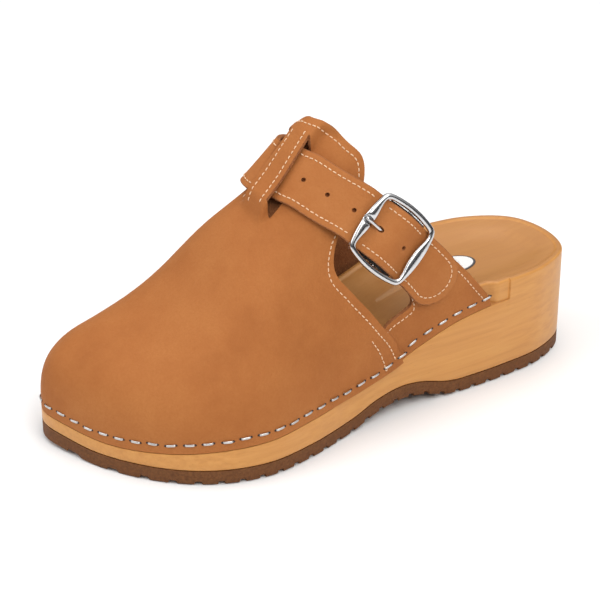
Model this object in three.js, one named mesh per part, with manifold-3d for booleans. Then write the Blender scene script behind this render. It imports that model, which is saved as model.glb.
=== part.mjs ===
// A wooden clog for the left foot, about EU 39: a carved wooden sole on a rubber outsole, a leather
// vamp and two quarters stapled into a rebate round the sole, and an instep strap with a buckle.
// Millimetres. +X is the outer (buckle) side, +Y the heel, +Z up. The origin is on the floor under
// the middle of the clog.
import * as THREE from "three";
import { mergeVertices } from "three/addons/utils/BufferGeometryUtils.js";
import Module from "manifold-3d";

const wasm = await Module();
wasm.setup();

// ---------- driving dimensions ----------
const CENTRE_X = 1.2; // moves the whole model so that its box is centred
const OUTLINE = [ // plan of the sole, from the back of the heel round by the outer side
  [0, 131], [20, 125.5], [31.5, 106], [35, 80], [35.5, 52], [35.5, 22], [40.5, -10], [47.5, -35],
  [50.7, -58], [46, -79], [34, -98], [13, -115.5], [-12, -127], [-31, -131], [-44, -122.5],
  [-51.5, -103], [-53, -76], [-50, -48], [-41, -14], [-34, 20], [-34.5, 50], [-36.5, 80],
  [-33, 106], [-20, 125.5],
];
const OUTLINE_STEPS = 84;
const GAP = 0.3; // clearance between pieces that touch
const OUTSOLE_THICKNESS = 7;
const GROOVE = { pitch: 9, width: 3, depth: 1.3 };
const REBATE = { depth: 3.8, height: 11, end: 83 }; // step that the leather is stapled into
const LEATHER = 2;
const STRAP = { width: 26.5, thickness: 2.4, hole: 2.2 };
const HOLES = [6, 11.6, 12.6, 13.9]; // places along the strap, in its stations
const SLOT = { width: 5.8, reach: 20 };
const FRAME = { side: 30.8, bow: 2.4, bar: 3, broad: 5.4, thickness: 2.8 };
const PIN_RADIUS = 1.1;
const LOOP = { width: 23, thickness: 0.7, tail: 8, mouth: 5 };
const PRONG = { length: 17.8, radius: 0.9, width: 2.6, rise: 13.6, swing: 8 }; // angles in degrees
const STAPLE = { length: 4.4, width: 1.3, thickness: 0.6, pitch: 8.3, above: 4.5 };
const STAPLES_OUTER = 31;
const STAPLES_INNER = 13;
const LABEL = { x: 0.5, y: 73.5, length: 26, width: 16, thickness: 0.4 };

// ---------- profiles along the length ----------
// A smooth curve through [position, value] pairs that never overshoots them.
function profile(pairs) {
  const slopes = pairs.slice(1).map(([y, v], i) => (v - pairs[i][1]) / (y - pairs[i][0]));
  const tangents = pairs.map((_, i) => {
    if (i === 0 || i === pairs.length - 1) return slopes[Math.min(i, slopes.length - 1)];
    const [a, b] = [slopes[i - 1], slopes[i]];
    const [h, k] = [pairs[i][0] - pairs[i - 1][0], pairs[i + 1][0] - pairs[i][0]];
    const mean = (a * k + b * h) / (h + k);
    return (Math.sign(a) + Math.sign(b)) * Math.min(Math.abs(a), Math.abs(b), Math.abs(mean) / 2);
  });
  return (y) => {
    const at = THREE.MathUtils.clamp(y, pairs[0][0], pairs[pairs.length - 1][0]);
    const i = Math.max(0, pairs.findLastIndex(([start], n) => start <= at && n < pairs.length - 1));
    const [[y0, v0], [y1, v1]] = [pairs[i], pairs[i + 1]];
    const h = y1 - y0;
    const t = (at - y0) / h;
    const s = 1 - t;
    return v0 * (1 + 2 * t) * s * s + v1 * (3 - 2 * t) * t * t
      + h * t * s * (tangents[i] * s - tangents[i + 1] * t);
  };
}
const arch = profile([[-131, 2], [-120, 0], [-20, 0], [-8, 1], [6, 4.6], [21, 6.3], [34, 4.8], [47, 1.1],
  [58, 0], [131, 0]]); // height of the outsole's underside above the floor
const ledge = profile([[-131, 15.5], [-118, 13.6], [-100, 15], [-79, 17], [-60, 18], [-40, 19.3],
  [-15, 20.2], [2, 23], [16, 26], [29, 31], [37, 34], [48, 37.8], [60, 40.3], [72, 41.7], [83, 42]]);
const rim = (y) => {
  const height = y < REBATE.end ? ledge(y) + REBATE.height : 53;
  return height - 0.5 * THREE.MathUtils.smoothstep(y, 40, 110);
};
const ridgeHeight = profile([[-131, 57.4], [-118, 56.1], [-105, 55.8], [-92, 57.6], [-80, 62.1], [-68, 70],
  [-56, 81.3], [-44, 93.4], [-32, 104], [-20, 113.7], [-8, 125.3], [4, 136.1], [14, 140.7], [25, 142.3],
  [60, 146.1]]);
const ridgeX = profile([[-62, -18.1], [-20, -15.4], [20, -12.2], [60, -12.2]]);
const outerFullness = profile([[-131, 3.17], [-105, 2.68], [-80, 2.3], [-56, 2.04], [-32, 1.82], [-8, 1.73],
  [4, 1.77], [14, 1.85], [25, 1.99], [40, 2.23]]);
const innerFullness = profile([[-131, 3.17], [-92, 2.75], [-56, 2.41], [-20, 2.08], [40, 2.05]]);
const TOE_CENTRE = -62; // the toe cap fans out from the ridge here

// ---------- the sole's plan ----------
const outline = new THREE.CatmullRomCurve3(OUTLINE.map(([x, y]) => new THREE.Vector3(x, y, 0)), true);
const finePlan = outline.getSpacedPoints(720).slice(0, -1);
const toeIndex = finePlan.reduce((best, p, i) => (p.y < finePlan[best].y ? i : best), 0);

// x of the outline at y, on the outer (side = 1) or the inner (side = -1) side.
function edgeX(y, side) {
  const inner = [finePlan[0], ...finePlan.slice(toeIndex).reverse()];
  const half = side > 0 ? finePlan.slice(0, toeIndex + 1) : inner;
  const i = Math.max(1, half.findIndex((p) => p.y < y));
  const t = (half[i - 1].y - y) / (half[i - 1].y - half[i].y);
  return THREE.MathUtils.lerp(half[i - 1].x, half[i].x, THREE.MathUtils.clamp(t, 0, 1));
}

// The sole's plan drawn in by a distance towards its middle line, as a loop of [x, y].
function plan(inset) {
  return outline.getSpacedPoints(OUTLINE_STEPS).slice(0, -1).map((p) => {
    const y = THREE.MathUtils.clamp(p.y, -88, 96);
    const middle = new THREE.Vector3((edgeX(y, 1) + edgeX(y, -1)) / 2, y, 0);
    const way = middle.sub(p);
    return p.clone().addScaledVector(way, Math.min(inset / way.length(), 0.8));
  });
}

// ---------- solids ----------
function geometryFrom(points, triangles) {
  const geometry = new THREE.BufferGeometry().setFromPoints(points);
  geometry.setIndex(triangles.flat());
  return mergeVertices(geometry, 1e-3);
}

// The triangles that close a loop, turning the same way as the loop does. A loop that is flat in
// plan is cut into triangles there; one given as "convex" is closed by a fan.
function capFaces(loop, flatten) {
  if (flatten === "convex") return loop.slice(2).map((_, i) => [0, i + 1, i + 2]);
  const contour = loop.map(flatten);
  const turn = Math.sign(THREE.ShapeUtils.area(contour));
  return THREE.ShapeUtils.triangulateShape(contour, []).map(([a, b, c]) => {
    const area = THREE.ShapeUtils.area([contour[a], contour[b], contour[c]]);
    return Math.sign(area) === turn ? [a, b, c] : [a, c, b];
  });
}

const inPlan = (p) => new THREE.Vector2(p.x, p.y);
const fromSide = (p) => new THREE.Vector2(p.y, p.z);

// A closed solid through a stack of loops with equal numbers of points, with a cap at each end.
function loft(loops, flatten = "convex") {
  const count = loops[0].length;
  const triangles = [];
  for (let k = 0; k + 1 < loops.length; k++)
    for (let i = 0; i < count; i++) {
      const [a, b] = [k * count + i, k * count + ((i + 1) % count)];
      triangles.push([a, b, b + count], [a, b + count, a + count]);
    }
  const last = (loops.length - 1) * count;
  for (const [a, b, c] of capFaces(loops[0], flatten)) triangles.push([c, b, a]);
  for (const [a, b, c] of capFaces(loops[loops.length - 1], flatten))
    triangles.push([last + a, last + b, last + c]);
  return facingOut(geometryFrom(loops.flat(), triangles));
}

function volumeOf(geometry) {
  const p = geometry.getAttribute("position");
  const corner = (i) => new THREE.Vector3().fromBufferAttribute(p, geometry.index.getX(i));
  let sum = 0;
  for (let i = 0; i < geometry.index.count; i += 3)
    sum += corner(i).dot(corner(i + 1).cross(corner(i + 2))) / 6;
  return sum;
}

function facingOut(geometry) {
  if (volumeOf(geometry) >= 0) return geometry;
  const index = [...geometry.index.array];
  for (let i = 0; i < index.length; i += 3) [index[i + 1], index[i + 2]] = [index[i + 2], index[i + 1]];
  geometry.setIndex(index);
  return geometry;
}

// A sheet of leather: grids of surface points joined where they meet, given a thickness inwards.
function thicken(grids, thickness) {
  const points = [];
  const triangles = [];
  for (const grid of grids) {
    const first = points.length;
    const width = grid[0].length;
    points.push(...grid.flat());
    for (let r = 0; r + 1 < grid.length; r++)
      for (let c = 0; c + 1 < width; c++) {
        const a = first + r * width + c;
        triangles.push([a, a + 1 + width, a + 1], [a, a + width, a + 1 + width]);
      }
  }
  const sheet = geometryFrom(points, triangles);
  const faces = [];
  for (let i = 0; i < sheet.index.count; i += 3) {
    const face = [0, 1, 2].map((k) => sheet.index.getX(i + k));
    if (new Set(face).size === 3) faces.push(face);
  }
  sheet.setIndex(faces.flat());
  sheet.computeVertexNormals();
  const position = sheet.getAttribute("position");
  const normal = sheet.getAttribute("normal");
  const outside = [];
  const inside = [];
  for (let i = 0; i < position.count; i++) {
    const p = new THREE.Vector3().fromBufferAttribute(position, i);
    const n = new THREE.Vector3().fromBufferAttribute(normal, i);
    outside.push(p);
    inside.push(p.clone().addScaledVector(n, -thickness));
  }
  const count = outside.length;
  const edges = new Set(faces.flatMap(([a, b, c]) => [`${a} ${b}`, `${b} ${c}`, `${c} ${a}`]));
  const solid = faces.flatMap(([a, b, c]) => [[a, b, c], [c + count, b + count, a + count]]);
  for (const edge of edges) {
    const [a, b] = edge.split(" ").map(Number);
    if (!edges.has(`${b} ${a}`)) solid.push([b, a, a + count], [b, a + count, b + count]);
  }
  return facingOut(geometryFrom([...outside, ...inside], solid));
}

function toManifold(geometry) {
  const merged = geometry.clone();
  for (const name of Object.keys(merged.attributes)) if (name !== "position") merged.deleteAttribute(name);
  const welded = mergeVertices(merged, 1e-3);
  return new wasm.Manifold(new wasm.Mesh({
    numProp: 3,
    vertProperties: new Float32Array(welded.getAttribute("position").array),
    triVerts: new Uint32Array(welded.index.array),
  }));
}

function fromManifold(solid) {
  const mesh = solid.getMesh();
  return new THREE.BufferGeometry()
    .setAttribute("position", new THREE.BufferAttribute(new Float32Array(mesh.vertProperties), 3))
    .setIndex([...mesh.triVerts]);
}

function cut(geometry, ...tools) {
  return fromManifold(tools.reduce((solid, tool) => solid.subtract(toManifold(tool)), toManifold(geometry)));
}

function common(geometry, tool) {
  return fromManifold(toManifold(geometry).intersect(toManifold(tool)));
}

function join(geometry, ...others) {
  return fromManifold(others.reduce((solid, other) => solid.add(toManifold(other)), toManifold(geometry)));
}

// A matrix with the given axes as columns, standing at an origin.
const axes = (x, y, z, origin) => new THREE.Matrix4().makeBasis(x, y, z).setPosition(origin);

// ---------- the surface that the leather lies on ----------
const { smoothstep, lerp, degToRad } = THREE.MathUtils;

// Strength of a hump between two limits, with soft shoulders.
const hump = (v, from, to, soft) => smoothstep(v, from, from + soft) * (1 - smoothstep(v, to - soft, to));

// A point of the foot's form over the sole's edge point; angle 0 is at the ledge, 90 degrees on the ridge.
function formPoint(edge, fullness, angle) {
  const y = Math.max(edge.y, TOE_CENTRE);
  const in_ = Math.cos(angle) ** (2 / fullness);
  const up = Math.sin(angle) ** (2 / fullness);
  const p = new THREE.Vector3(lerp(ridgeX(y), edge.x, in_), lerp(y, edge.y, in_), 0);
  const base = ledge(edge.y);
  p.z = base + (ridgeHeight(p.y) - base) * up;
  return p;
}

// The form behind the toe cap, from the outer ledge (0) over the ridge (90) to the inner ledge (180 degrees).
function form(y, degrees) {
  const side = degrees <= 90 ? 1 : -1;
  const angle = degToRad(side > 0 ? degrees : 180 - degrees);
  const fullness = side > 0 ? outerFullness(y) : innerFullness(y);
  return formPoint(new THREE.Vector3(edgeX(y, side), y, 0), fullness, angle);
}

function formNormal(y, degrees) {
  const [s, d] = [0.5, THREE.MathUtils.clamp(degrees, 1, 179)];
  const along = form(y + s, d).sub(form(y - s, d));
  const around = form(y, d + s).sub(form(y, d - s));
  return around.cross(along).normalize().negate();
}

const onForm = (y, degrees, lift) => form(y, degrees).addScaledVector(formNormal(y, degrees), lift);

// ---------- sole ----------
const DISH = { rimWidth: 2.7, depth: profile([[-131, 2.5], [-60, 3.2], [20, 3.6], [80, 5], [131, 5]]) };

const atHeight = (loop, height) => loop.map((p) => p.clone().setZ(height(p)));
const woodUnderside = (p) => arch(p.y) + OUTSOLE_THICKNESS;

function footbed(p, inset) {
  const fall = smoothstep(inset, REBATE.depth + DISH.rimWidth - 1, 22);
  return rim(p.y) - DISH.depth(p.y) * fall;
}

function woodenSole() {
  const loops = [40, 24, 18, 13, 9, 6].map((inset) => atHeight(plan(inset), (p) => footbed(p, inset)));
  loops.push(atHeight(plan(1), (p) => rim(p.y)));
  loops.push(atHeight(plan(0), (p) => rim(p.y) - 1));
  for (const inset of [0, 18, 36]) loops.push(atHeight(plan(inset), woodUnderside));
  return cut(loft(loops, inPlan), rebateCutter());
}

// The step round the front of the sole, as a bar of square section that follows the outline.
function rebateCutter() {
  const middleOf = (p) => new THREE.Vector3(0, THREE.MathUtils.clamp(p.y, -88, 96), 0);
  const path = finePlan.filter((p, i) => p.y < REBATE.end && (i % 8 === 0));
  const [first, last] = [path[0], path[path.length - 1]];
  first.set(edgeX(REBATE.end, 1), REBATE.end, 0);
  last.set(edgeX(REBATE.end, -1), REBATE.end, 0);
  return loft(path.map((p) => {
    const inwards = middleOf(p).sub(p).setY(p.y > -88 ? 0 : middleOf(p).y - p.y).normalize();
    const corner = (inset, up) => p.clone().addScaledVector(inwards, inset).setZ(ledge(p.y) + up);
    return [corner(-4, 0), corner(REBATE.depth, 0), corner(REBATE.depth, 30), corner(-4, 30)];
  }));
}

function outsole() {
  const underside = [36, 18, 0].map((inset) => atHeight(plan(inset), (p) => arch(p.y)));
  const top = [0, 18, 36].map((inset) => atHeight(plan(inset), (p) => woodUnderside(p) - GAP));
  const grooves = [];
  for (let y = -126; y < 128; y += GROOVE.pitch) {
    const groove = new THREE.BoxGeometry(140, GROOVE.width, 10);
    grooves.push(groove.translate(0, y, arch(y) + GROOVE.depth - 5));
  }
  return cut(loft([...underside, ...top], inPlan), ...grooves);
}

// A plain oval label, let down on the heel of the footbed.
function label() {
  const edge = new THREE.EllipseCurve(LABEL.x, LABEL.y, LABEL.width / 2, LABEL.length / 2);
  const oval = edge.getPoints(28).slice(0, -1);
  const layer = (lift) => oval.map((p) => new THREE.Vector3(p.x, p.y, footbed(p, 40) + lift));
  return loft([layer(GAP), layer(GAP + LABEL.thickness)], inPlan);
}

// ---------- vamp ----------
// Rear edge of the vamp: y against the angle round the form, from the outer to the inner ledge.
const vampRear = profile([[0, 20], [9.6, 13.5], [14.4, 8.5], [21.8, 1.5], [28.9, -4.5], [38, -10], [44, -6],
  [50.5, 11], [58, 14.3], [67, 10], [78, 5.7], [90, 2.4], [105, 0], [118, -3], [130, -6], [140, -9], [151, -4.5],
  [158, 1.5], [166, 8.5], [180, 20]]);
const SLOTS = [
  { front: [-1.2, -27], rear: [-5.8, 1] },
  { front: [-16.6, -30.5], rear: [-20.6, -3] },
];

const slotX = ({ front, rear }, y) =>
  lerp(front[0], rear[0], THREE.MathUtils.clamp((y - front[1]) / (rear[1] - front[1]), -0.2, 1.2));

// How far the vamp stands off the form: it overlaps the quarters low down at its rear, lies under
// the strap over the instep, and arches over the strap between the two slots.
function vampLift(p, degrees) {
  const low = 1 - smoothstep(Math.min(degrees, 180 - degrees), 16, 42);
  const corner = (LEATHER + GAP) * low * smoothstep(p.y, -30, 8);
  const inner = smoothstep(degrees, 95, 115);
  const tongue = smoothstep(p.y, 1, 9);
  const sunk = (STRAP.thickness + 3 * GAP) * (1 - low) * smoothstep(p.y, -50, -26) * (1 - 0.5 * inner);
  const soft = 1.4 + 9 * tongue;
  const outerRamp = 1 - smoothstep(p.x, slotX(SLOTS[0], p.y) - 1.4, slotX(SLOTS[0], p.y) + soft);
  const innerRamp = smoothstep(p.x, slotX(SLOTS[1], p.y) - soft, slotX(SLOTS[1], p.y) + 1.4);
  return corner - sunk + 6.5 * outerRamp * innerRamp * smoothstep(p.y, -34, -28);
}

function vampPoint(y, degrees) {
  const p = form(y, degrees);
  return p.addScaledVector(formNormal(y, degrees), vampLift(p, degrees));
}

function slotCutter({ front, rear }) {
  const over = ([x, y]) => {
    const side = x > ridgeX(y) ? 1 : -1;
    const fullness = side > 0 ? outerFullness(y) : innerFullness(y);
    const inwards = (x - ridgeX(y)) / (edgeX(y, side) - ridgeX(y));
    const degrees = THREE.MathUtils.radToDeg(Math.acos(Math.abs(inwards) ** (fullness / 2)));
    return form(y, side > 0 ? degrees : 180 - degrees);
  };
  const [a, b] = [over(front), over(rear)];
  const along = b.clone().sub(a).normalize();
  const outwards = new THREE.Vector3(0, -0.6, 0.8);
  const across = along.clone().cross(outwards).normalize();
  const depth = across.clone().cross(along);
  const box = new THREE.BoxGeometry(SLOT.width, a.distanceTo(b), SLOT.reach);
  return box.applyMatrix4(axes(across, along, depth, a.add(b).multiplyScalar(0.5)));
}

function vamp() {
  const angles = [0, 4, 9, 15, 22, 30, 38, 46, 54, 62, 69, 73, 77, 81, 85.5, 90];
  const around = [...angles, ...angles.slice(0, -1).reverse().map((d) => 180 - d)];
  const steps = [0, 0.12, 0.24, 0.36, 0.46, 0.55, 0.64, 0.73, 0.82, 0.91, 1];
  const back = steps.map((t) => around.map((d) => vampPoint(lerp(TOE_CENTRE, vampRear(d), t), d)));
  const toe = finePlan.filter((p, i) => p.y < TOE_CENTRE - 3 && i % 12 === 0);
  const columns = [new THREE.Vector3(edgeX(TOE_CENTRE, 1), TOE_CENTRE, 0), ...toe,
    new THREE.Vector3(edgeX(TOE_CENTRE, -1), TOE_CENTRE, 0)];
  const cap = columns.map((edge) => {
    const outwards = THREE.MathUtils.clamp((edge.x - ridgeX(TOE_CENTRE)) / 32, -1, 1) / 2 + 0.5;
    const fullness = lerp(innerFullness(edge.y), outerFullness(edge.y), outwards);
    return angles.map((d) => formPoint(edge, fullness, degToRad(d)));
  });
  const up = new THREE.Vector3(0, 0, GAP);
  for (const row of [...back, ...cap]) for (const p of row) p.add(up);
  return cut(thicken([back, cap.reverse()], LEATHER), ...SLOTS.map(slotCutter));
}

// ---------- quarters ----------
// Outline of a quarter seen from the side, as [y, z]; it reaches up under the buckle.
const QUARTER = [[12, 10], [8, 44], [13, 48.5], [20, 51], [27, 54], [26.5, 58], [24, 65], [32, 75], [39, 78.3],
  [48, 73.5], [58, 62.5], [65, 53.5], [72, 44.5], [73, 10]];

function quarter(side) {
  const rows = [];
  const angles = [0, 4, 8, 13, 18, 24, 30, 36, 43];
  const around = side > 0 ? angles : angles.map((d) => 180 - d).reverse();
  const up = new THREE.Vector3(0, 0, GAP);
  for (let y = 6; y <= 76; y += 5) rows.push(around.map((d) => onForm(y, d, 0).add(up)));
  const outlineAt = (x) => QUARTER.map(([y, z]) => new THREE.Vector3(side * x, y, z));
  return common(thicken([rows], LEATHER), loft([outlineAt(2), outlineAt(90)], fromSide));
}

// ---------- buckle ----------
// The buckle's own axes: along the strap towards its tip, across it, and out of the frame.
const ALONG = new THREE.Vector3(0.3, 0.658, -0.69).normalize();
const OUT = ALONG.clone().cross(new THREE.Vector3(-0.091, 0.741, 0.665)).normalize();
const ACROSS = OUT.clone().cross(ALONG);
const FRAME_CENTRE = new THREE.Vector3(31.6, 16.4, 89.4);
const PIN_DEPTH = 1.8;
const inFrame = (along, across, out) => FRAME_CENTRE.clone()
  .addScaledVector(ALONG, along).addScaledVector(ACROSS, across).addScaledVector(OUT, out);
const frameAxes = axes(ALONG, ACROSS, OUT, FRAME_CENTRE);
const pinAxes = axes(ALONG, ACROSS, OUT, inFrame(0, 0, -PIN_DEPTH));

// Distance from the middle to the frame's outer edge: four bowed sides with rounded corners.
function frameRadius(angle) {
  const half = FRAME.side / 2 + FRAME.bow;
  const radius = ((FRAME.side / 2) ** 2 + FRAME.bow ** 2) / (2 * FRAME.bow);
  const sharpness = 22;
  let sum = 0;
  for (let side = 0; side < 4; side++) {
    const lean = Math.cos(angle - side * Math.PI / 2) * (half - radius);
    const reach = lean + Math.sqrt(lean ** 2 - (half - radius) ** 2 + radius ** 2);
    if (reach > 0) sum += reach ** -sharpness;
  }
  return sum ** (-1 / sharpness);
}

function buckleFrame() {
  const steps = 48;
  const sections = [];
  for (let i = 0; i <= steps; i++) {
    const angle = (i / steps) * 2 * Math.PI;
    const outer = frameRadius(angle);
    const broad = Math.max(0, Math.abs(Math.cos(angle)) - 0.72) / 0.28;
    const width = lerp(FRAME.bar, FRAME.broad, broad);
    const middle = outer - width / 2;
    sections.push(Array.from({ length: 8 }, (_, k) => {
      const turn = ((k + 0.5) / 8) * 2 * Math.PI;
      const r = middle + Math.cos(turn) * width / 2;
      return new THREE.Vector3(r * Math.cos(angle), r * Math.sin(angle), Math.sin(turn) * FRAME.thickness / 2);
    }));
  }
  const notch = prongShaft(PRONG.radius + GAP, PRONG.rise).translate(0, 0, -PIN_DEPTH);
  return cut(closedRing(sections.slice(0, -1)), notch).applyMatrix4(frameAxes);
}

// A solid through a closed round of loops, the last joined to the first.
function closedRing(loops) {
  const count = loops[0].length;
  const triangles = [];
  loops.forEach((_, k) => {
    const next = ((k + 1) % loops.length) * count;
    for (let i = 0; i < count; i++) {
      const j = (i + 1) % count;
      triangles.push([k * count + i, k * count + j, next + j], [k * count + i, next + j, next + i]);
    }
  });
  return facingOut(geometryFrom(loops.flat(), triangles));
}

function bucklePin() {
  const length = 2 * (FRAME.side / 2 + FRAME.bow - FRAME.bar - GAP);
  return new THREE.CylinderGeometry(PIN_RADIUS, PIN_RADIUS, length, 16).applyMatrix4(pinAxes);
}

// Webbing round the pin, with its two ends laid together as a tail on the quarter.
function anchorLoop() {
  const [inside, outside] = [PIN_RADIUS + 0.25, PIN_RADIUS + 0.25 + LOOP.thickness];
  const shape = new THREE.Shape();
  shape.absarc(0, 0, outside, Math.PI / 6, -Math.PI / 2, false);
  shape.lineTo(LOOP.tail, -outside);
  shape.lineTo(LOOP.tail, -outside + 2 * LOOP.thickness);
  shape.lineTo(3, -outside + 2 * LOOP.thickness);
  shape.holes.push(new THREE.Path().absarc(0, 0, inside, 0, 2 * Math.PI, true));
  const band = new THREE.ExtrudeGeometry(shape, { depth: LOOP.width, bevelEnabled: false, curveSegments: 14 });
  band.translate(0, 0, -LOOP.width / 2).rotateX(Math.PI / 2);
  const mouth = new THREE.BoxGeometry(6.4, LOOP.mouth, 8).translate(-0.6, 0, 0);
  return cut(band, mouth).applyMatrix4(pinAxes);
}

// ---------- prong ----------
function prongShaft(radius, rise) {
  const start = PIN_RADIUS + 0.25;
  const shaft = new THREE.CapsuleGeometry(radius, PRONG.length - start - 2 * radius, 4, 10);
  return shaft.rotateZ(Math.PI / 2).translate(-(PRONG.length + start) / 2, 0, 0).rotateY(degToRad(rise));
}

function prong() {
  const eye = new THREE.Shape().absarc(0, 0, PIN_RADIUS + 0.9, 0, 2 * Math.PI, false);
  eye.holes.push(new THREE.Path().absarc(0, 0, PIN_RADIUS + 0.2, 0, 2 * Math.PI, true));
  const ring = new THREE.ExtrudeGeometry(eye, { depth: PRONG.width, bevelEnabled: false, curveSegments: 12 });
  ring.translate(0, 0, -PRONG.width / 2).rotateX(Math.PI / 2);
  return join(ring, prongShaft(PRONG.radius, PRONG.rise)).applyMatrix4(pinAxes);
}

// ---------- strap ----------
// Middle line of the strap from its tip to its sewn end, as points with the direction across it.
function strapStations() {
  const onLeather = (y, degrees, lift) => ({ y, degrees, point: onForm(y, degrees, lift) });
  const inBuckle = (along, out) => ({ point: inFrame(along, 0, out), across: ACROSS.clone() });
  const stations = [
    onLeather(44.5, 7, 2.1), onLeather(40, 11.5, 2.1), onLeather(35.5, 16.5, 2.35),
    inBuckle(20, -4.3), inBuckle(15.5, -3.4), inBuckle(11, -2.1), inBuckle(5.5, 0.6), inBuckle(0, 1.75),
    inBuckle(-5.5, 0.6), inBuckle(-11, -2.1), inBuckle(-15.5, -3.4), inBuckle(-20, -4.2),
    onLeather(-5.5, 57.7, -0.9), onLeather(-11.5, 68.5, -0.9), onLeather(-14.3, 74.5, -1.1),
    onLeather(-16, 80, -1.6), onLeather(-17.6, 86, -1.7), onLeather(-18.6, 92, -1.4), onLeather(-18.6, 98, -0.6),
    onLeather(-16.8, 105, 1), onLeather(-12.5, 114, 1.2), onLeather(-5, 125, 0.8), onLeather(5, 137, 0.8),
    onLeather(17, 148, 1.3), onLeather(28, 157, 1.6), onLeather(34, 163, 1.6),
  ];
  stations.forEach((station, i) => {
    if (station.across) return;
    const before = stations[Math.max(0, i - 1)].point;
    const after = stations[Math.min(stations.length - 1, i + 1)].point;
    const along = after.clone().sub(before);
    station.across = along.cross(formNormal(station.y, station.degrees)).normalize();
  });
  return stations;
}

const stations = strapStations();
const HINGE_STATION = 3; // behind the rear bar the strap's tip flexes

// Cross-sections of the strap between two stations, three to each station.
function strapSections(from, to) {
  const middle = new THREE.CatmullRomCurve3(stations.map((s) => s.point));
  const sides = new THREE.CatmullRomCurve3(stations.map((s) => s.point.clone().addScaledVector(s.across, 10)));
  const steps = Math.round(3 * (to - from));
  return Array.from({ length: steps + 1 }, (_, i) => {
    const t = lerp(from, to, i / steps) / (stations.length - 1);
    const point = middle.getPoint(t);
    const across = sides.getPoint(t).sub(point).normalize();
    const out = across.clone().cross(middle.getTangent(t)).normalize();
    return { point, across, out };
  });
}

function strapBody(sections, widthAt = () => STRAP.width) {
  return loft(sections.map(({ point, across, out }, i) => {
    const half = widthAt(i) / 2;
    const corner = (a, b) => point.clone().addScaledVector(across, a * half)
      .addScaledVector(out, (b * STRAP.thickness) / 2);
    return [corner(-1, -1), corner(0, -1), corner(1, -1), corner(1, 1), corner(0, 1), corner(-1, 1)];
  }));
}

// A hole through the strap at a place counted in stations.
function punch(station) {
  const [{ point, across, out }] = strapSections(station, station + 1);
  const hole = new THREE.CylinderGeometry(STRAP.hole / 2, STRAP.hole / 2, 12, 16);
  return hole.applyMatrix4(axes(out.clone().cross(across), out, across, point));
}

// The buckle's prong stands through one hole, which is worn long enough for it to swing.
function strap() {
  const worn = [0, 0.5, 1].map((part) =>
    prongShaft(PRONG.radius + GAP, PRONG.rise + part * PRONG.swing).applyMatrix4(pinAxes));
  const body = strapBody(strapSections(HINGE_STATION + 0.05, stations.length - 1));
  return cut(body, ...worn, ...HOLES.map(punch));
}

// The end of the strap beyond the buckle, with a rounded tip.
function strapTip() {
  const sections = strapSections(0, HINGE_STATION - 0.03);
  const roundedLength = 12;
  const widthAt = (i) => {
    const fromEnd = sections[i].point.distanceTo(sections[0].point) + 0.6;
    return STRAP.width * Math.sqrt(1 - Math.max(0, 1 - fromEnd / roundedLength) ** 2.4);
  };
  return strapBody(sections, widthAt);
}

// ---------- staples ----------
function staple(distance) {
  const at = (d) => outline.getPointAt(d / outline.getLength());
  const [before, middle, after] = [at(distance - 2), at(distance), at(distance + 2)];
  for (const p of [before, middle, after]) p.z = ledge(p.y) + STAPLE.above;
  const along = after.sub(before).normalize();
  const out = new THREE.Vector3(-along.y, along.x, 0).normalize();
  const lift = (LEATHER + GAP) * smoothstep(middle.y, -34, 4) * (middle.y < 20 ? 1 : 0);
  const position = middle.addScaledVector(out, lift + GAP + STAPLE.thickness / 2);
  const crown = new THREE.BoxGeometry(STAPLE.length, STAPLE.width, STAPLE.thickness);
  return crown.applyMatrix4(axes(along, out.clone().cross(along), out, position));
}

// Staples round the sole, every pitch along the outer side and the toe, and every second one inside.
function stapleDistances() {
  const length = outline.getLength();
  const start = (finePlan.findIndex((p) => p.y < 68.5) / finePlan.length) * length;
  const end = (finePlan.findIndex((p, i) => i > toeIndex && p.y > 67) / finePlan.length) * length;
  const outer = Array.from({ length: STAPLES_OUTER }, (_, i) => start + i * STAPLE.pitch);
  const turn = outer[STAPLES_OUTER - 1];
  const inner = Array.from({ length: STAPLES_INNER }, (_, i) => lerp(turn, end, (i + 1) / STAPLES_INNER));
  return [...outer, ...inner];
}

// ---------- assembly ----------
const finish = (color, roughness, metalness = 0) =>
  new THREE.MeshStandardMaterial({ color, roughness, metalness });
const FINISHES = {
  wood: finish("#d9a066", 0.5),
  rubber: finish("#6b4424", 0.85),
  leather: finish("#c0834d", 0.8),
  metal: finish("#c8c8cc", 0.2, 1),
  webbing: finish("#1c1a18", 0.9),
  paper: finish("#f2f2f0", 0.4),
};

const clog = new THREE.Group();
clog.position.x = CENTRE_X;

function add(name, geometry, material) {
  const mesh = new THREE.Mesh(geometry, FINISHES[material]);
  mesh.name = name;
  clog.add(mesh);
}

add("wooden_sole", woodenSole(), "wood");
add("outsole", outsole(), "rubber");
add("insole_label", label(), "paper");
add("vamp", vamp(), "leather");
add("outer_quarter", quarter(1), "leather");
add("inner_quarter", quarter(-1), "leather");
add("buckle_frame", buckleFrame(), "metal");
add("buckle_pin", bucklePin(), "metal");
add("anchor_loop", anchorLoop(), "webbing");
add("prong", prong(), "metal");
add("strap", strap(), "leather");
add("strap_tip", strapTip(), "leather");
stapleDistances().forEach((distance, i) =>
  add(`staple_${String(i + 1).padStart(2, "0")}`, staple(distance), "metal"));

export default clog;
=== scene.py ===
"""Looks of a wooden clog for the left foot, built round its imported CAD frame. Lengths in the shape
functions are millimetres in the row frame; meshes are made in metres."""
import math

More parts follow.
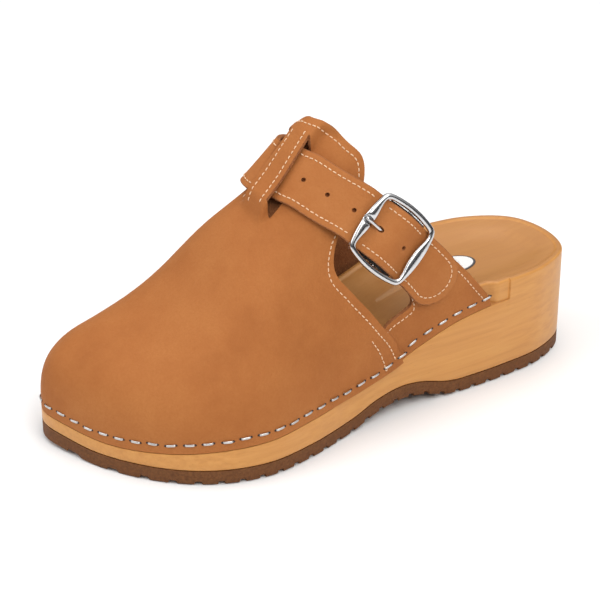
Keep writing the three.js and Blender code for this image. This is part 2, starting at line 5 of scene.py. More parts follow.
import bmesh
import bpy
import numpy as np
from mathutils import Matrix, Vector


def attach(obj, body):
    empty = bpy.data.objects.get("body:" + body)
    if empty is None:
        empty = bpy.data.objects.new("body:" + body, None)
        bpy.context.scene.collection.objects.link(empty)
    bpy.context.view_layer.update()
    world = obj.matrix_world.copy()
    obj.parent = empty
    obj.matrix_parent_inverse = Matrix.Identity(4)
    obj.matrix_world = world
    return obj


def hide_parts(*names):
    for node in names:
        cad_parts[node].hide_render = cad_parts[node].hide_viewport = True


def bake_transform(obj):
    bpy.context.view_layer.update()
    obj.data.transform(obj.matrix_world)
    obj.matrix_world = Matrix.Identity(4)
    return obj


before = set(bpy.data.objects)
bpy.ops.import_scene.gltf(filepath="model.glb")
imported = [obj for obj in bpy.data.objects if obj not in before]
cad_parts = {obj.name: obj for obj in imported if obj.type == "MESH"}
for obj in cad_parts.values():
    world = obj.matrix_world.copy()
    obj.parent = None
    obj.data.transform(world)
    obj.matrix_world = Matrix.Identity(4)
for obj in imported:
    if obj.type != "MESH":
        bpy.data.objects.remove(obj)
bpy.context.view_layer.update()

MM = 0.001
CENTRE_X = 1.2
rng = np.random.default_rng(11)

# ---------- camera, floor and light ----------
CAMERA_TARGET = Vector((-18.8, 0, 40)) * MM
CAMERA_AZIMUTH, CAMERA_ELEVATION, CAMERA_DISTANCE = math.radians(58), math.radians(28), 0.95


def direction(azimuth, elevation):
    return Vector((math.sin(azimuth) * math.cos(elevation), -math.cos(azimuth) * math.cos(elevation),
                   math.sin(elevation)))


def link(obj):
    bpy.context.scene.collection.objects.link(obj)
    return obj


def aim(obj, target):
    obj.rotation_euler = (Vector(target) - obj.location).to_track_quat("-Z", "Y").to_euler()


def add_camera():
    data = bpy.data.cameras.new("camera")
    data.lens, data.sensor_width = 120, 36
    data.clip_start, data.clip_end = 0.05, 20
    camera = link(bpy.data.objects.new("camera", data))
    camera.location = CAMERA_TARGET + direction(CAMERA_AZIMUTH, CAMERA_ELEVATION) * CAMERA_DISTANCE
    aim(camera, CAMERA_TARGET)
    bpy.context.scene.camera = camera


def add_light(name, azimuth, elevation, distance, size, power, color):
    data = bpy.data.lights.new(name, "AREA")
    data.size, data.energy, data.color = size, power, color
    light = link(bpy.data.objects.new(name, data))
    light.location = direction(math.radians(azimuth), math.radians(elevation)) * distance
    aim(light, (0, 0, 0.05))


# ---------- materials ----------
class Nodes:
    """A small hand for building a material's node tree."""

    def __init__(self, name):
        self.material = bpy.data.materials.new(name)
        self.material.use_nodes = True
        self.tree = self.material.node_tree
        self.shader = self.tree.nodes["Principled BSDF"]
        self.position = self.add("ShaderNodeTexCoord").outputs["Object"]

    def add(self, kind, inputs=(), **settings):
        node = self.tree.nodes.new(kind)
        for key, value in settings.items():
            setattr(node, key, value)
        for key, value in dict(inputs).items():
            self.put(node.inputs[key], value)
        return node

    def put(self, socket, value):
        if isinstance(value, bpy.types.NodeSocket):
            self.tree.links.new(value, socket)
        else:
            socket.default_value = value

    def scaled(self, scale):
        return self.add("ShaderNodeMapping", {"Vector": self.position, "Scale": scale}).outputs["Vector"]

    def noise(self, scale, detail=3.0, roughness=0.55, stretch=(1, 1, 1)):
        node = self.add("ShaderNodeTexNoise", {"Vector": self.scaled(stretch), "Scale": scale,
                                               "Detail": detail, "Roughness": roughness})
        return node.outputs["Fac"]

    def math(self, operation, a, b=0.0):
        node = self.add("ShaderNodeMath", operation=operation)
        self.put(node.inputs[0], a)
        self.put(node.inputs[1], b)
        return node.outputs[0]

    def ramp(self, factor, *stops):
        node = self.add("ShaderNodeValToRGB", {"Fac": factor})
        elements = node.color_ramp.elements
        while len(elements) < len(stops):
            elements.new(0.5)
        for element, (at, color) in zip(elements, stops):
            element.position = at
            element.color = color if len(color) == 4 else (*color, 1)
        return node.outputs["Color"]

    def mask(self, factor, low, high):
        node = self.add("ShaderNodeMapRange", {"Value": factor, "From Min": low, "From Max": high})
        return node.outputs["Result"]

    def mix(self, factor, a, b):
        node = self.add("ShaderNodeMix", data_type="RGBA")
        self.put(node.inputs[0], factor)
        self.put(node.inputs[6], a)
        self.put(node.inputs[7], b)
        return node.outputs[2]

    def tint(self, color, other, factor, low, high, amount):
        """Mixes in some of another colour where a factor runs from low to high."""
        return self.mix(self.math("MULTIPLY", self.mask(factor, low, high), amount), color, other)

    def bump(self, height, distance, strength):
        node = self.add("ShaderNodeBump", {"Height": height, "Distance": distance, "Strength": strength})
        return node.outputs["Normal"]

    def finish(self, **sockets):
        for key, value in sockets.items():
            self.put(self.shader.inputs[key.replace("_", " ")], value)
        return self.material


def srgb(r, g, b):
    to_linear = lambda v: v / 12.92 if v <= 0.04045 else ((v + 0.055) / 1.055) ** 2.4
    return tuple(to_linear(c / 255) for c in (r, g, b)) + (1,)


def leather_material(name, base, dark, light):
    n = Nodes(name)
    cloud = n.noise(26, 4, 0.6)
    patch = n.noise(90, 5, 0.65)
    fine = n.noise(900, 3, 0.7)
    nap = n.noise(2600, 2, 0.8)
    color = n.ramp(n.mask(cloud, 0.25, 0.75), (0, dark), (0.5, base), (1, light))
    color = n.tint(color, light, patch, 0.45, 0.8, 0.5)
    color = n.tint(color, dark, fine, 0.35, 0.75, 0.35)
    pores = n.add("ShaderNodeTexVoronoi", {"Vector": n.position, "Scale": 620.0}).outputs["Distance"]
    height = n.math("MULTIPLY", n.mask(pores, 0.0, 0.5), 0.35)
    height = n.math("ADD", n.math("MULTIPLY", nap, 0.5), height)
    height = n.math("ADD", height, n.math("MULTIPLY", patch, 0.6))
    return n.finish(Base_Color=color, Roughness=n.math("ADD", 0.66, n.math("MULTIPLY", fine, 0.2)),
                    Normal=n.bump(height, 0.00022, 0.75), Specular_IOR_Level=0.22,
                    Sheen_Weight=0.05, Sheen_Roughness=0.5, Sheen_Tint=srgb(236, 180, 130))


def suede_material(name, base, dark):
    n = Nodes(name)
    tufts = n.noise(1100, 4, 0.75)
    patch = n.noise(160, 3)
    color = n.mix(n.mask(tufts, 0.3, 0.7), dark, base)
    color = n.tint(color, dark, patch, 0.4, 0.7, 0.4)
    return n.finish(Base_Color=color, Roughness=0.92, Normal=n.bump(tufts, 0.0005, 0.9),
                    Specular_IOR_Level=0.15, Sheen_Weight=0.12, Sheen_Roughness=0.6,
                    Sheen_Tint=srgb(236, 190, 145))


def wood_material():
    """Pale wood with its grain along Y, and painted shade that darkens the surfaces facing up."""
    n = Nodes("wood")
    wobble = n.noise(14, 3, 0.5, (1, 0.25, 1))
    place = n.add("ShaderNodeSeparateXYZ", {"Vector": n.position})
    ring = n.math("ADD", n.math("MULTIPLY", place.outputs["X"], 130), n.math("MULTIPLY", wobble, 6.0))
    rings = n.math("SINE", n.math("ADD", ring, n.math("MULTIPLY", place.outputs["Z"], 210)))
    streaks = n.noise(420, 5, 0.6, (1, 0.035, 1))
    fleck = n.noise(1500, 2, 0.6, (1, 0.12, 1))
    color = n.ramp(n.mask(streaks, 0.25, 0.78), (0, srgb(194, 132, 66)), (0.5, srgb(207, 146, 76)),
                   (1, srgb(214, 156, 86)))
    color = n.tint(color, srgb(186, 124, 66), rings, 0.2, 1.0, 0.12)
    color = n.tint(color, srgb(150, 94, 50), fleck, 0.62, 0.8, 0.3)
    color = n.tint(color, srgb(196, 132, 70), n.noise(22, 2), 0.4, 0.7, 0.25)
    normal = n.add("ShaderNodeNewGeometry").outputs["Normal"]
    painted_top_shade = n.add("ShaderNodeSeparateXYZ", {"Vector": normal}).outputs["Z"]
    # painted shade: the wood is darkened where its surface faces up, by the normal's upward part
    color = n.tint(color, srgb(164, 112, 66), painted_top_shade, 0.75, 0.96, 0.6)
    height = n.math("ADD", streaks, n.math("MULTIPLY", fleck, 0.4))
    return n.finish(Base_Color=color, Roughness=n.math("ADD", 0.33, n.math("MULTIPLY", streaks, 0.2)),
                    Normal=n.bump(height, 0.00008, 0.6), Coat_Weight=0.12, Coat_Roughness=0.3,
                    Specular_IOR_Level=0.35)


def rubber_material():
    n = Nodes("outsole_rubber")
    speck = n.noise(800, 4, 0.7)
    cloud = n.noise(40, 3)
    color = n.ramp(n.mask(speck, 0.3, 0.75), (0, srgb(88, 52, 25)), (1, srgb(130, 83, 44)))
    color = n.tint(color, srgb(112, 68, 34), cloud, 0.4, 0.7, 0.35)
    return n.finish(Base_Color=color, Roughness=0.72, Normal=n.bump(speck, 0.00025, 0.7),
                    Specular_IOR_Level=0.3)


def metal_material(name, color, dull, roughness):
    n = Nodes(name)
    smear = n.noise(240, 4, 0.6, (1, 0.3, 1))
    scratch = n.noise(2400, 2, 0.5, (1, 0.05, 1))
    return n.finish(Base_Color=n.mix(n.mask(smear, 0.4, 0.8), color, dull), Metallic=1.0,
                    Roughness=n.math("ADD", roughness, n.math("MULTIPLY", smear, 0.1)),
                    Normal=n.bump(scratch, 0.00002, 0.4))


def thread_material():
    n = Nodes("thread")
    twist = n.noise(2200, 2, 0.6)
    color = n.mix(n.mask(twist, 0.3, 0.7), srgb(214, 172, 132), srgb(244, 214, 180))
    return n.finish(Base_Color=color, Roughness=0.75, Normal=n.bump(twist, 0.0001, 0.8), Sheen_Weight=0.2)


def webbing_material():
    n = Nodes("elastic")
    wave = n.add("ShaderNodeTexWave", {"Vector": n.position, "Scale": 340.0, "Distortion": 0.6})
    ribs = wave.outputs["Fac"]
    fluff = n.noise(1800, 4, 0.8)
    color = n.mix(n.mask(fluff, 0.3, 0.8), srgb(16, 14, 13), srgb(58, 50, 44))
    return n.finish(Base_Color=color, Roughness=0.95, Sheen_Weight=0.3,
                    Normal=n.bump(n.math("ADD", ribs, fluff), 0.0004, 0.8))


def plain_material(name, color, roughness):
    n = Nodes(name)
    grain = n.noise(700, 3)
    color = n.mix(n.math("MULTIPLY", grain, 0.12), color, (0.3, 0.3, 0.3, 1))
    return n.finish(Base_Color=color, Roughness=roughness, Normal=n.bump(grain, 0.00003, 0.4))


NUBUCK = leather_material("nubuck", srgb(169, 103, 52), srgb(155, 91, 43), srgb(178, 113, 60))
STRAP_LEATHER = leather_material("strap_leather", srgb(172, 106, 55), srgb(161, 95, 46), srgb(181, 117, 65))
SUEDE = suede_material("flesh_side", srgb(164, 106, 66), srgb(112, 66, 38))
RAW_EDGE = suede_material("raw_edge", srgb(182, 120, 76), srgb(134, 80, 46))
WOOD = wood_material()
RUBBER = rubber_material()
CHROME = metal_material("polished_nickel", (0.62, 0.62, 0.63, 1), (0.5, 0.49, 0.48, 1), 0.1)
WIRE = metal_material("staple_wire", (0.62, 0.61, 0.6, 1), (0.46, 0.45, 0.44, 1), 0.3)
THREAD = thread_material()
ELASTIC = webbing_material()
FILM = plain_material("label_film", srgb(244, 243, 240), 0.35)
FILM_RIM = plain_material("label_rim", srgb(62, 58, 60), 0.4)
# painted shade: a near-black brown put inside holes, where shade falls, on the strap's hole walls and at the staple
# legs
HOLE_SHADE = plain_material("painted_hole_shade", srgb(44, 22, 14), 0.9)


# ---------- smooth curves ----------
def smoothstep(v, low, high):
    t = np.clip((v - low) / (high - low), 0, 1)
    return t * t * (3 - 2 * t)


def lerp(a, b, t):
    return a + (b - a) * t


def profile(*pairs):
    """A curve through (position, value) pairs that never overshoots them."""
    ys, vs = np.array(pairs, float).T
    h = np.diff(ys)
    slope = np.diff(vs) / h
    mean = (slope[:-1] * h[1:] + slope[1:] * h[:-1]) / (h[:-1] + h[1:])
    least = np.minimum(np.minimum(abs(slope[:-1]), abs(slope[1:])), abs(mean) / 2)
    tangent = np.concatenate([slope[:1], (np.sign(slope[:-1]) + np.sign(slope[1:])) * least, slope[-1:]])

    def value(y):
        at = np.clip(y, ys[0], ys[-1])
        i = np.clip(np.searchsorted(ys, at, "right") - 1, 0, len(h) - 1)
        t = (at - ys[i]) / h[i]
        s = 1 - t
        return (vs[i] * (1 + 2 * t) * s * s + vs[i + 1] * (3 - 2 * t) * t * t
                + h[i] * t * s * (tangent[i] * s - tangent[i + 1] * t))

    return value


def catmull_rom(points, per_segment, closed=False):
    """A centripetal Catmull-Rom curve through the points."""
    p = np.asarray(points, float)
    count = len(p)
    if not closed:
        p = np.vstack([2 * p[0] - p[1], p, 2 * p[-1] - p[-2]])
    out = []
    for i in range(count if closed else count - 1):
        a, b, c, d = (p[(i + k - 1) % count] for k in range(4)) if closed else p[i:i + 4]
        e, f, g = (max(np.linalg.norm(q - r) ** 0.5, 1e-4) for q, r in ((b, a), (c, b), (d, c)))
        start = ((b - a) / e - (c - a) / (e + f) + (c - b) / f) * f
        end = ((c - b) / f - (d - b) / (f + g) + (d - c) / g) * f
        t = np.linspace(0, 1, per_segment, endpoint=False)[:, None]
        out.append(b + start * t + (3 * (c - b) - 2 * start - end) * t ** 2
                   + (2 * (b - c) + start + end) * t ** 3)
    if not closed:
        out.append(p[-2:-1])
    return np.vstack(out)


def lengths(path):
    return np.concatenate([[0], np.cumsum(np.linalg.norm(np.diff(path, axis=0), axis=1))])


def resample(path, at):
    """Points at arc lengths along a path."""
    run = lengths(path)
    return np.stack([np.interp(at, run, path[:, k]) for k in range(path.shape[1])], 1)


def unit(v):
    return v / np.maximum(np.linalg.norm(v, axis=-1, keepdims=True), 1e-9)


# ---------- the clog's form ----------
OUTLINE = catmull_rom([
    (0, 131), (20, 125.5), (31.5, 106), (35, 80), (35.5, 52), (35.5, 22), (40.5, -10), (47.5, -35), (50.7, -58),
    (46, -79), (34, -98), (13, -115.5), (-12, -127), (-31, -131), (-44, -122.5), (-51.5, -103), (-53, -76),
    (-50, -48), (-41, -14), (-34, 20), (-34.5, 50), (-36.5, 80), (-33, 106), (-20, 125.5)], 60, closed=True)
OUTLINE_LOOP = np.vstack([OUTLINE, OUTLINE[:1]])
TOE_INDEX = int(OUTLINE[:, 1].argmin())
REBATE_DEPTH, REBATE_HEIGHT, REBATE_END = 3.8, 11, 83
LEATHER = 2.0
GAP = 0.3
TOE_CENTRE = -62
arch = profile((-131, 2), (-120, 0), (-20, 0), (-8, 1), (6, 4.6), (21, 6.3), (34, 4.8), (47, 1.1),
               (58, 0), (131, 0))
ledge = profile((-131, 15.5), (-118, 13.6), (-100, 15), (-79, 17), (-60, 18), (-40, 19.3), (-15, 20.2), (2, 23),
                (16, 26), (29, 31), (37, 34), (48, 37.8), (60, 40.3), (72, 41.7), (83, 42))
ridge_height = profile((-131, 57.4), (-118, 56.1), (-105, 55.8), (-92, 57.6), (-80, 62.1), (-68, 70), (-56, 81.3),
                       (-44, 93.4), (-32, 104), (-20, 113.7), (-8, 125.3), (4, 136.1), (14, 140.7), (25, 142.3),
                       (60, 146.1))
ridge_x = profile((-62, -18.1), (-20, -15.4), (20, -12.2), (60, -12.2))
outer_fullness = profile((-131, 3.17), (-105, 2.68), (-80, 2.3), (-56, 2.04), (-32, 1.82), (-8, 1.73), (4, 1.77),
                         (14, 1.85), (25, 1.99), (40, 2.23))
inner_fullness = profile((-131, 3.17), (-92, 2.75), (-56, 2.41), (-20, 2.08), (40, 2.05))
dish_depth = profile((-131, 2.5), (-60, 3.2), (20, 3.6), (80, 5), (131, 5))


def rim(y):
    return np.where(y < REBATE_END, ledge(y) + REBATE_HEIGHT, 53) - 0.5 * smoothstep(y, 40, 110)


def edge_x(y, side):
    outer, inner = OUTLINE[:TOE_INDEX + 1][::-1], np.vstack([OUTLINE[TOE_INDEX:], OUTLINE[:1]])
    return np.where(side > 0, np.interp(y, outer[:, 1], outer[:, 0]), np.interp(y, inner[:, 1], inner[:, 0]))


def form_point(edge, fullness, angle):
    """edge is (..., 2) on the outline; angle runs from 0 at the ledge to a quarter turn on the ridge."""
    y = np.maximum(edge[..., 1], TOE_CENTRE)
    inwards = np.clip(np.cos(angle), 0, 1) ** (2 / fullness)
    up = np.clip(np.sin(angle), 0, 1) ** (2 / fullness)
    px = lerp(ridge_x(y), edge[..., 0], inwards)
    py = lerp(y, edge[..., 1], inwards)
    base = ledge(edge[..., 1])
    return np.stack([px, py, base + (ridge_height(py) - base) * up], -1)


def form(y, degrees):
    y, degrees = np.broadcast_arrays(np.asarray(y, float), np.asarray(degrees, float))
    outer = degrees <= 90
    angle = np.radians(np.where(outer, degrees, 180 - degrees))
    fullness = np.where(outer, outer_fullness(y), inner_fullness(y))
    edge = np.stack([edge_x(y, np.where(outer, 1, -1)), y], -1)
    return form_point(edge, fullness, angle)


def form_normal(y, degrees):
    d = np.clip(degrees, 1, 179)
    along = form(y + 0.5, d) - form(y - 0.5, d)
    around = form(y, d + 0.5) - form(y, d - 0.5)
    return unit(np.cross(along, around))


SLOT_OUTER = ((-1.0, -28.8), (-5.1, -3.6))
SLOT_INNER = ((-16.5, -31.5), (-20.2, -5.2))
BRIDGE_LIFT = 5.8
SLOT_WIDTH = 2.7
STRAP_WIDTH, STRAP_THICKNESS = 26.5, 2.4
vamp_rear = profile((0, 20), (9.6, 13.5), (14.4, 8.5), (21.8, 1.5), (28.9, -4.5), (38, -10), (44, -6), (50.5, 11),
                    (58, 14.3), (67, 10), (78, 5.7), (90, 2.4), (104, 2.2), (111, 0.5), (118, -4), (130, -6), (140, -9),
                    (151, -4.5), (158, 1.5), (166, 8.5), (180, 20))


def slot_x(slot, y):
    (fx, fy), (rx, ry) = slot
    return lerp(fx, rx, np.clip((y - fy) / (ry - fy), -0.2, 1.2))


def vamp_lift(p, degrees):
    """How far the vamp stands off the form: out over the quarters at its lower rear corners, sunk where
    the strap lies on it, and raised in the bridge between the slots, where the strap runs under it."""
    x, y = p[..., 0], p[..., 1]
    low = 1 - smoothstep(np.minimum(degrees, 180 - degrees), 16, 42)
    corner = (LEATHER + GAP) * low * smoothstep(y, -30, 8)
    inner = smoothstep(degrees, 95, 115)
    tongue = smoothstep(y, 1, 9)
    front = 1 - smoothstep(y, -40, -31)
    sunk = (STRAP_THICKNESS + 3 * GAP) * (1 - low) * smoothstep(y, -54, -26) * (1 - 0.5 * inner)
    soft = 1.4 + 9 * tongue + 9 * front
    outer_ramp = 1 - smoothstep(x, slot_x(SLOT_OUTER, y) - 1.2 - 4 * front, slot_x(SLOT_OUTER, y) + soft)
    inner_ramp = smoothstep(x, slot_x(SLOT_INNER, y) - soft, slot_x(SLOT_INNER, y) + 1.2 + 4 * front)
    ends = smoothstep(y, -37, -27.5) * (1 - 0.3 * smoothstep(y, -4, 4))
    return corner - sunk + BRIDGE_LIFT * outer_ramp * inner_ramp * ends


def vamp_point(y, degrees):
    p = form(y, degrees)
    return p + form_normal(y, degrees) * vamp_lift(p, np.asarray(degrees))[..., None]


# ---------- meshes ----------
def build(name, points, faces, materials, indices=None, smooth_angle=40):
    """A mesh object from millimetre points in the shape's own frame (CENTRE_X is added here)."""
    data = bpy.data.meshes.new(name)
    placed = (np.asarray(points, float) + (CENTRE_X, 0, 0)) * MM
    data.from_pydata(placed.tolist(), [], [list(map(int, f)) for f in faces])
    for material in materials:
        data.materials.append(material)
    if indices is not None:
        data.polygons.foreach_set("material_index", np.asarray(indices, np.int32))
    data.validate()
    obj = link(bpy.data.objects.new(name, data))
    tidy(obj, smooth_angle)
    return obj


def tidy(obj, smooth_angle=40):
    """Welds doubled points, turns the faces outwards and shades smoothly up to an angle."""
    bm = bmesh.new()
    bm.from_mesh(obj.data)
    bmesh.ops.remove_doubles(bm, verts=bm.verts, dist=2e-6)
    bmesh.ops.recalc_face_normals(bm, faces=bm.faces)
    bm.to_mesh(obj.data)
    bm.free()
    obj.data.polygons.foreach_set("use_smooth", [True] * len(obj.data.polygons))
    obj.data.set_sharp_from_angle(angle=math.radians(smooth_angle))


def grid_faces(rows, columns, first=0, wrap=False):
    across = columns if wrap else columns - 1
    r, c = np.meshgrid(np.arange(rows - 1), np.arange(across), indexing="ij")
    a = first + r * columns + c
    b = first + r * columns + (c + 1) % columns
    return np.stack([a, b, b + columns, a + columns], -1).reshape(-1, 4).tolist()


def capped_faces(rows, columns):
    """Faces of closed rows of points, with a cap on the first row and on the last."""
    last = (rows - 1) * columns
    return grid_faces(rows, columns, wrap=True) + [[*range(columns)][::-1], [*range(last, last + columns)]]


def ring_faces(rows, columns):
    """Faces of closed rows of points, where the last row joins the first."""
    last = (rows - 1) * columns
    return grid_faces(rows, columns, wrap=True) + [
        [last + i, last + (i + 1) % columns, (i + 1) % columns, i] for i in range(columns)]


def pierce(points, faces, slot, width):
    """Cuts a straight slot, drawn in plan, out of a surface and returns the surface that is left."""
    bm = bmesh.new()
    corners = [bm.verts.new(p) for p in points]
    for f in faces:
        bm.faces.new([corners[i] for i in f])
    front, rear = (Vector((*end, 0)) for end in slot)
    centre, along = (front + rear) / 2, (rear - front).normalized()
    across = Vector((-along.y, along.x, 0))
    limits = ((along, (rear - front).length / 2), (across, width / 2))

    def inside(face, margin):
        offset = face.calc_center_median() - centre
        return all(abs(offset.dot(axis)) < half + margin for axis, half in limits)

    for axis, half in limits:
        for sign in (-1, 1):
            near = [f for f in bm.faces if inside(f, 2)]
            nearby = {*near, *(e for f in near for e in f.edges), *(v for f in near for v in f.verts)}
            nearby = sorted(nearby, key=lambda g: (type(g).__name__, g.index))
            bmesh.ops.bisect_plane(bm, geom=nearby, dist=1e-4, plane_co=centre + axis * half * sign,
                                   plane_no=axis)
            bm.verts.index_update()
            bm.edges.index_update()
            bm.faces.index_update()
    bmesh.ops.delete(bm, geom=[f for f in bm.faces if inside(f, 0)], context="FACES")
    bm.verts.index_update()
    left = np.array([v.co for v in bm.verts]), [[v.index for v in f.verts] for f in bm.faces]
    bm.free()
    return left


def sheet(name, grids, thickness, materials, slots=()):
    """Leather: surface grids, welded where they meet, given a thickness inwards. The three materials
    are for the outside, the inside and the cut edge."""
    points = np.vstack([g.reshape(-1, 3) for g in grids])
    faces, first = [], 0
    for g in grids:
        faces += grid_faces(g.shape[0], g.shape[1], first)
        first += g.shape[0] * g.shape[1]
    keys, inverse = np.unique(np.round(points * 500).astype(int), axis=0, return_inverse=True)
    kept = np.zeros((len(keys), 3))
    kept[inverse.ravel()] = points
    faces = [list(dict.fromkeys(inverse.ravel()[f])) for f in faces]
    faces = [f[::-1] for f in faces if len(f) > 2]
    for slot in slots:
        kept, faces = pierce(kept, faces, slot, SLOT_WIDTH)
    normals = np.zeros_like(kept)
    for f in faces:
        n = np.cross(kept[f[1]] - kept[f[0]], kept[f[2]] - kept[f[0]])
        normals[f] += n
    normals = unit(normals)
    count = len(kept)
    edges = {(f[i], f[(i + 1) % len(f)]) for f in faces for i in range(len(f))}
    walls = [(b, a, a + count, b + count) for a, b in edges if (b, a) not in edges]
    inner = [[v + count for v in reversed(f)] for f in faces]
    indices = [0] * len(faces) + [1] * len(faces) + [2] * len(walls)
    points = np.vstack([kept, kept - normals * thickness])
    return build(name, points, faces + inner + walls, materials, indices)


def settle(obj):
    """Makes a piece's modifiers part of its mesh."""
    bpy.context.view_layer.update()
    graph = bpy.context.evaluated_depsgraph_get()
    done = bpy.data.meshes.new_from_object(obj.evaluated_get(graph), preserve_all_data_layers=True,
                                           depsgraph=graph)
    obj.modifiers.clear()
    obj.data = done
    return obj


def cut(obj, tool, operation="DIFFERENCE"):
    modifier = obj.modifiers.new("cut", "BOOLEAN")
    modifier.object, modifier.operation, modifier.solver = tool, operation, "EXACT"
    settle(obj)
    bpy.data.objects.remove(tool)
    tidy(obj)
    return obj


def soften(obj, width, segments=2):
    """Rounds off the cut edges of a piece."""
    modifier = obj.modifiers.new("bevel", "BEVEL")
    modifier.width, modifier.segments, modifier.limit_method = width * MM, segments, "ANGLE"
    modifier.angle_limit = math.radians(50)
    modifier.use_clamp_overlap = True
    settle(obj)
    tidy(obj, 60)
    return obj


def prism(name, loop, far_loop, materials):
    """A cutting tool between two outlines; what it cuts gets the last of the materials."""
    faces = capped_faces(2, len(loop))
    return build(name, np.vstack([loop, far_loop]), faces, materials, [len(materials) - 1] * len(faces))


def join(name, parts, materials, smooth_angle=50):
    """One object from many small (points, faces) parts."""
    points, faces, first = [], [], 0
    for part_points, part_faces in parts:
        points.append(part_points)
        faces += [[v + first for v in f] for f in part_faces]
        first += len(part_points)
    return build(name, np.vstack(points), faces, materials, smooth_angle=smooth_angle)


def tube(path, radii, up, sides, squash=1.0):
    """Points and faces of a tube along a path; up gives its flat side, squash its thickness there."""
    path, up = np.asarray(path, float), np.broadcast_to(up, np.shape(path))
    tangent = unit(np.gradient(path, axis=0))
    side = unit(np.cross(tangent, up))
    up = np.cross(side, tangent)
    turn = np.arange(sides) / sides * 2 * np.pi
    radii = np.broadcast_to(radii, len(path))[:, None, None]
    ring = (np.cos(turn)[None, :, None] * side[:, None] + np.sin(turn)[None, :, None] * squash * up[:, None])
    return (path[:, None] + ring * radii).reshape(-1, 3), capped_faces(len(path), sides)


# ---------- stitches, fuzz and staples ----------
STITCH_PITCH, STITCH_LENGTH, STITCH_RADIUS = 2.5, 1.75, 0.27
STITCH_INSET = 3.0


def stitches(path, normals):
    """Small bowed lengths of thread along a path on a surface, each diving in at its ends."""
    run = lengths(path)
    count = max(2, int(run[-1] / STITCH_PITCH))
    centres = (np.arange(count) + 0.5) * run[-1] / count
    parts = []
    u = np.linspace(-1, 1, 7)
    for at in centres:
        half = STITCH_LENGTH / 2 * rng.uniform(0.92, 1.06)
        line = resample(path, np.clip(at + u * half, 0, run[-1]))
        normal = unit(resample(np.hstack([path, normals]), [at])[0, 3:])
        side = unit(np.cross(normal, line[-1] - line[0]))
        slant, rise = u * rng.uniform(-0.12, 0.12), 0.17 - 0.42 * u ** 4
        line = line + np.outer(slant, side) + np.outer(rise, normal)
        parts.append(tube(line, STITCH_RADIUS * (1 - 0.35 * u ** 4), normal, 7, 0.85))
    return parts


def fuzz(path, normals, outwards, count, reach, spread):
    """Loose fibres that stand out of a raw edge."""
    run = lengths(path)
    both = np.hstack([path, normals, outwards])
    parts = []
    for at in rng.uniform(0, run[-1], count):
        row = resample_at(both, run, at)
        p, n, o = row[:3], unit(row[3:6]), unit(row[6:9])
        along = np.cross(n, o)
        p = p - n * rng.uniform(0.1, spread)
        way = unit(o + n * rng.normal(0, 0.6) + along * rng.normal(0, 0.7))
        curl = n * rng.normal(0, 0.35) + along * rng.normal(0, 0.35)
        t = np.linspace(0, 1, 4)[:, None]
        length = reach * rng.uniform(0.35, 1)
        line = p + (way * t + curl * t ** 2) * length - way * 0.15
        parts.append(tube(line, 0.035 * (1 - 0.7 * t.ravel()), n, 3))
    return parts


def resample_at(path, run, at):
    return np.array([np.interp(at, run, path[:, k]) for k in range(path.shape[1])])


STAPLE_PITCH, STAPLE_HALF, STAPLE_ABOVE = 8.3, 2.0, 4.5
STAPLES_OUTER = 31


def staple_distances():
    run = lengths(OUTLINE_LOOP)
    start = run[int((OUTLINE[:, 1] < 68.5).argmax())]
    inner = np.flatnonzero((OUTLINE[:, 1] > 67) & (np.arange(len(OUTLINE)) > TOE_INDEX))[0]
    outer = start + np.arange(STAPLES_OUTER) * STAPLE_PITCH
    count = int((run[inner] - outer[-1]) / STAPLE_PITCH)
    return np.concatenate([outer, outer[-1] + (np.arange(count) + 1) * (run[inner] - outer[-1]) / count])


def staple_parts():
    """The staples' crowns, and a dark disc of painted shade where each leg goes in."""
    staples, holes = [], []
    for distance in staple_distances():
        distance += rng.normal(0, 0.18)
        before, middle, after = resample(OUTLINE_LOOP, distance + np.array([-2, 0, 2]))
        lift = (LEATHER + GAP) * smoothstep(middle[1], -34, 4) * (middle[1] < 19.5)
        place = lambda p: np.array([p[0], p[1], ledge(p[1]) + GAP + STAPLE_ABOVE])
        along = unit(place(after) - place(before))
        out = unit(np.array([-along[1], along[0], 0]))
        up = np.cross(out, along)
        tilt = rng.normal(0, 0.05)
        along, up = along * math.cos(tilt) + up * math.sin(tilt), up * math.cos(tilt) - along * math.sin(tilt)
        centre = place(middle) + out * lift + up * rng.normal(0, 0.18)
        u = np.array([-1, -1, -0.93, -0.75, -0.35, 0, 0.35, 0.75, 0.93, 1, 1])
        h = np.array([-1.2, -0.1, 0.24, 0.36, 0.4, 0.41, 0.4, 0.36, 0.24, -0.1, -1.2])
        line = centre + along * (u * STAPLE_HALF)[:, None] + out * h[:, None]
        staples.append(tube(line, np.full(len(u), 0.54), up_of(line, out, up), 10, 0.5))
        for end in (-1, 1):
            # painted shade: a dark disc laid on the leather for the shade in each leg's hole
            spot = centre + along * end * (STAPLE_HALF + 0.35) + out * 0.06
            turn = np.linspace(0, 2 * np.pi, 12, endpoint=False)[:, None]
            disc = spot + along * np.cos(turn) * 0.75 + up * np.sin(turn) * 0.5
            holes.append((np.vstack([disc, disc - out * 0.3]), capped_faces(2, len(turn))))
    return staples, holes


def up_of(line, out, up):
    """The wire's flat side: its broad way stays along up while the wire turns over into the leather."""
    tangent = unit(np.gradient(line, axis=0))
    return unit(np.cross(np.broadcast_to(up, line.shape), tangent))


# ---------- sole ----------
def sole_plan(inset):
    """The outline drawn in by a distance towards the middle line; inset may differ from point to point."""
    y = np.clip(OUTLINE[:, 1], -88, 96)
    middle = np.stack([(edge_x(y, 1) + edge_x(y, -1)) / 2, y], 1)
    way = middle - OUTLINE
    return OUTLINE + way * np.minimum(inset / np.linalg.norm(way, axis=1), 0.97)[:, None]


LIP, RIM_ROUND = 1.1, 1.7


def footbed(y, inset, from_rim=10):
    """The footbed drops by a small lip inside its rim and then dishes down to the middle."""
    return rim(y) - LIP * smoothstep(from_rim, 2.4, 4.2) - (dish_depth(y) - LIP) * smoothstep(inset, 5.2, 22)


def level(inset, height):
    plan = sole_plan(inset)
    y = plan[:, 1]
    return np.column_stack([plan, height(y)])


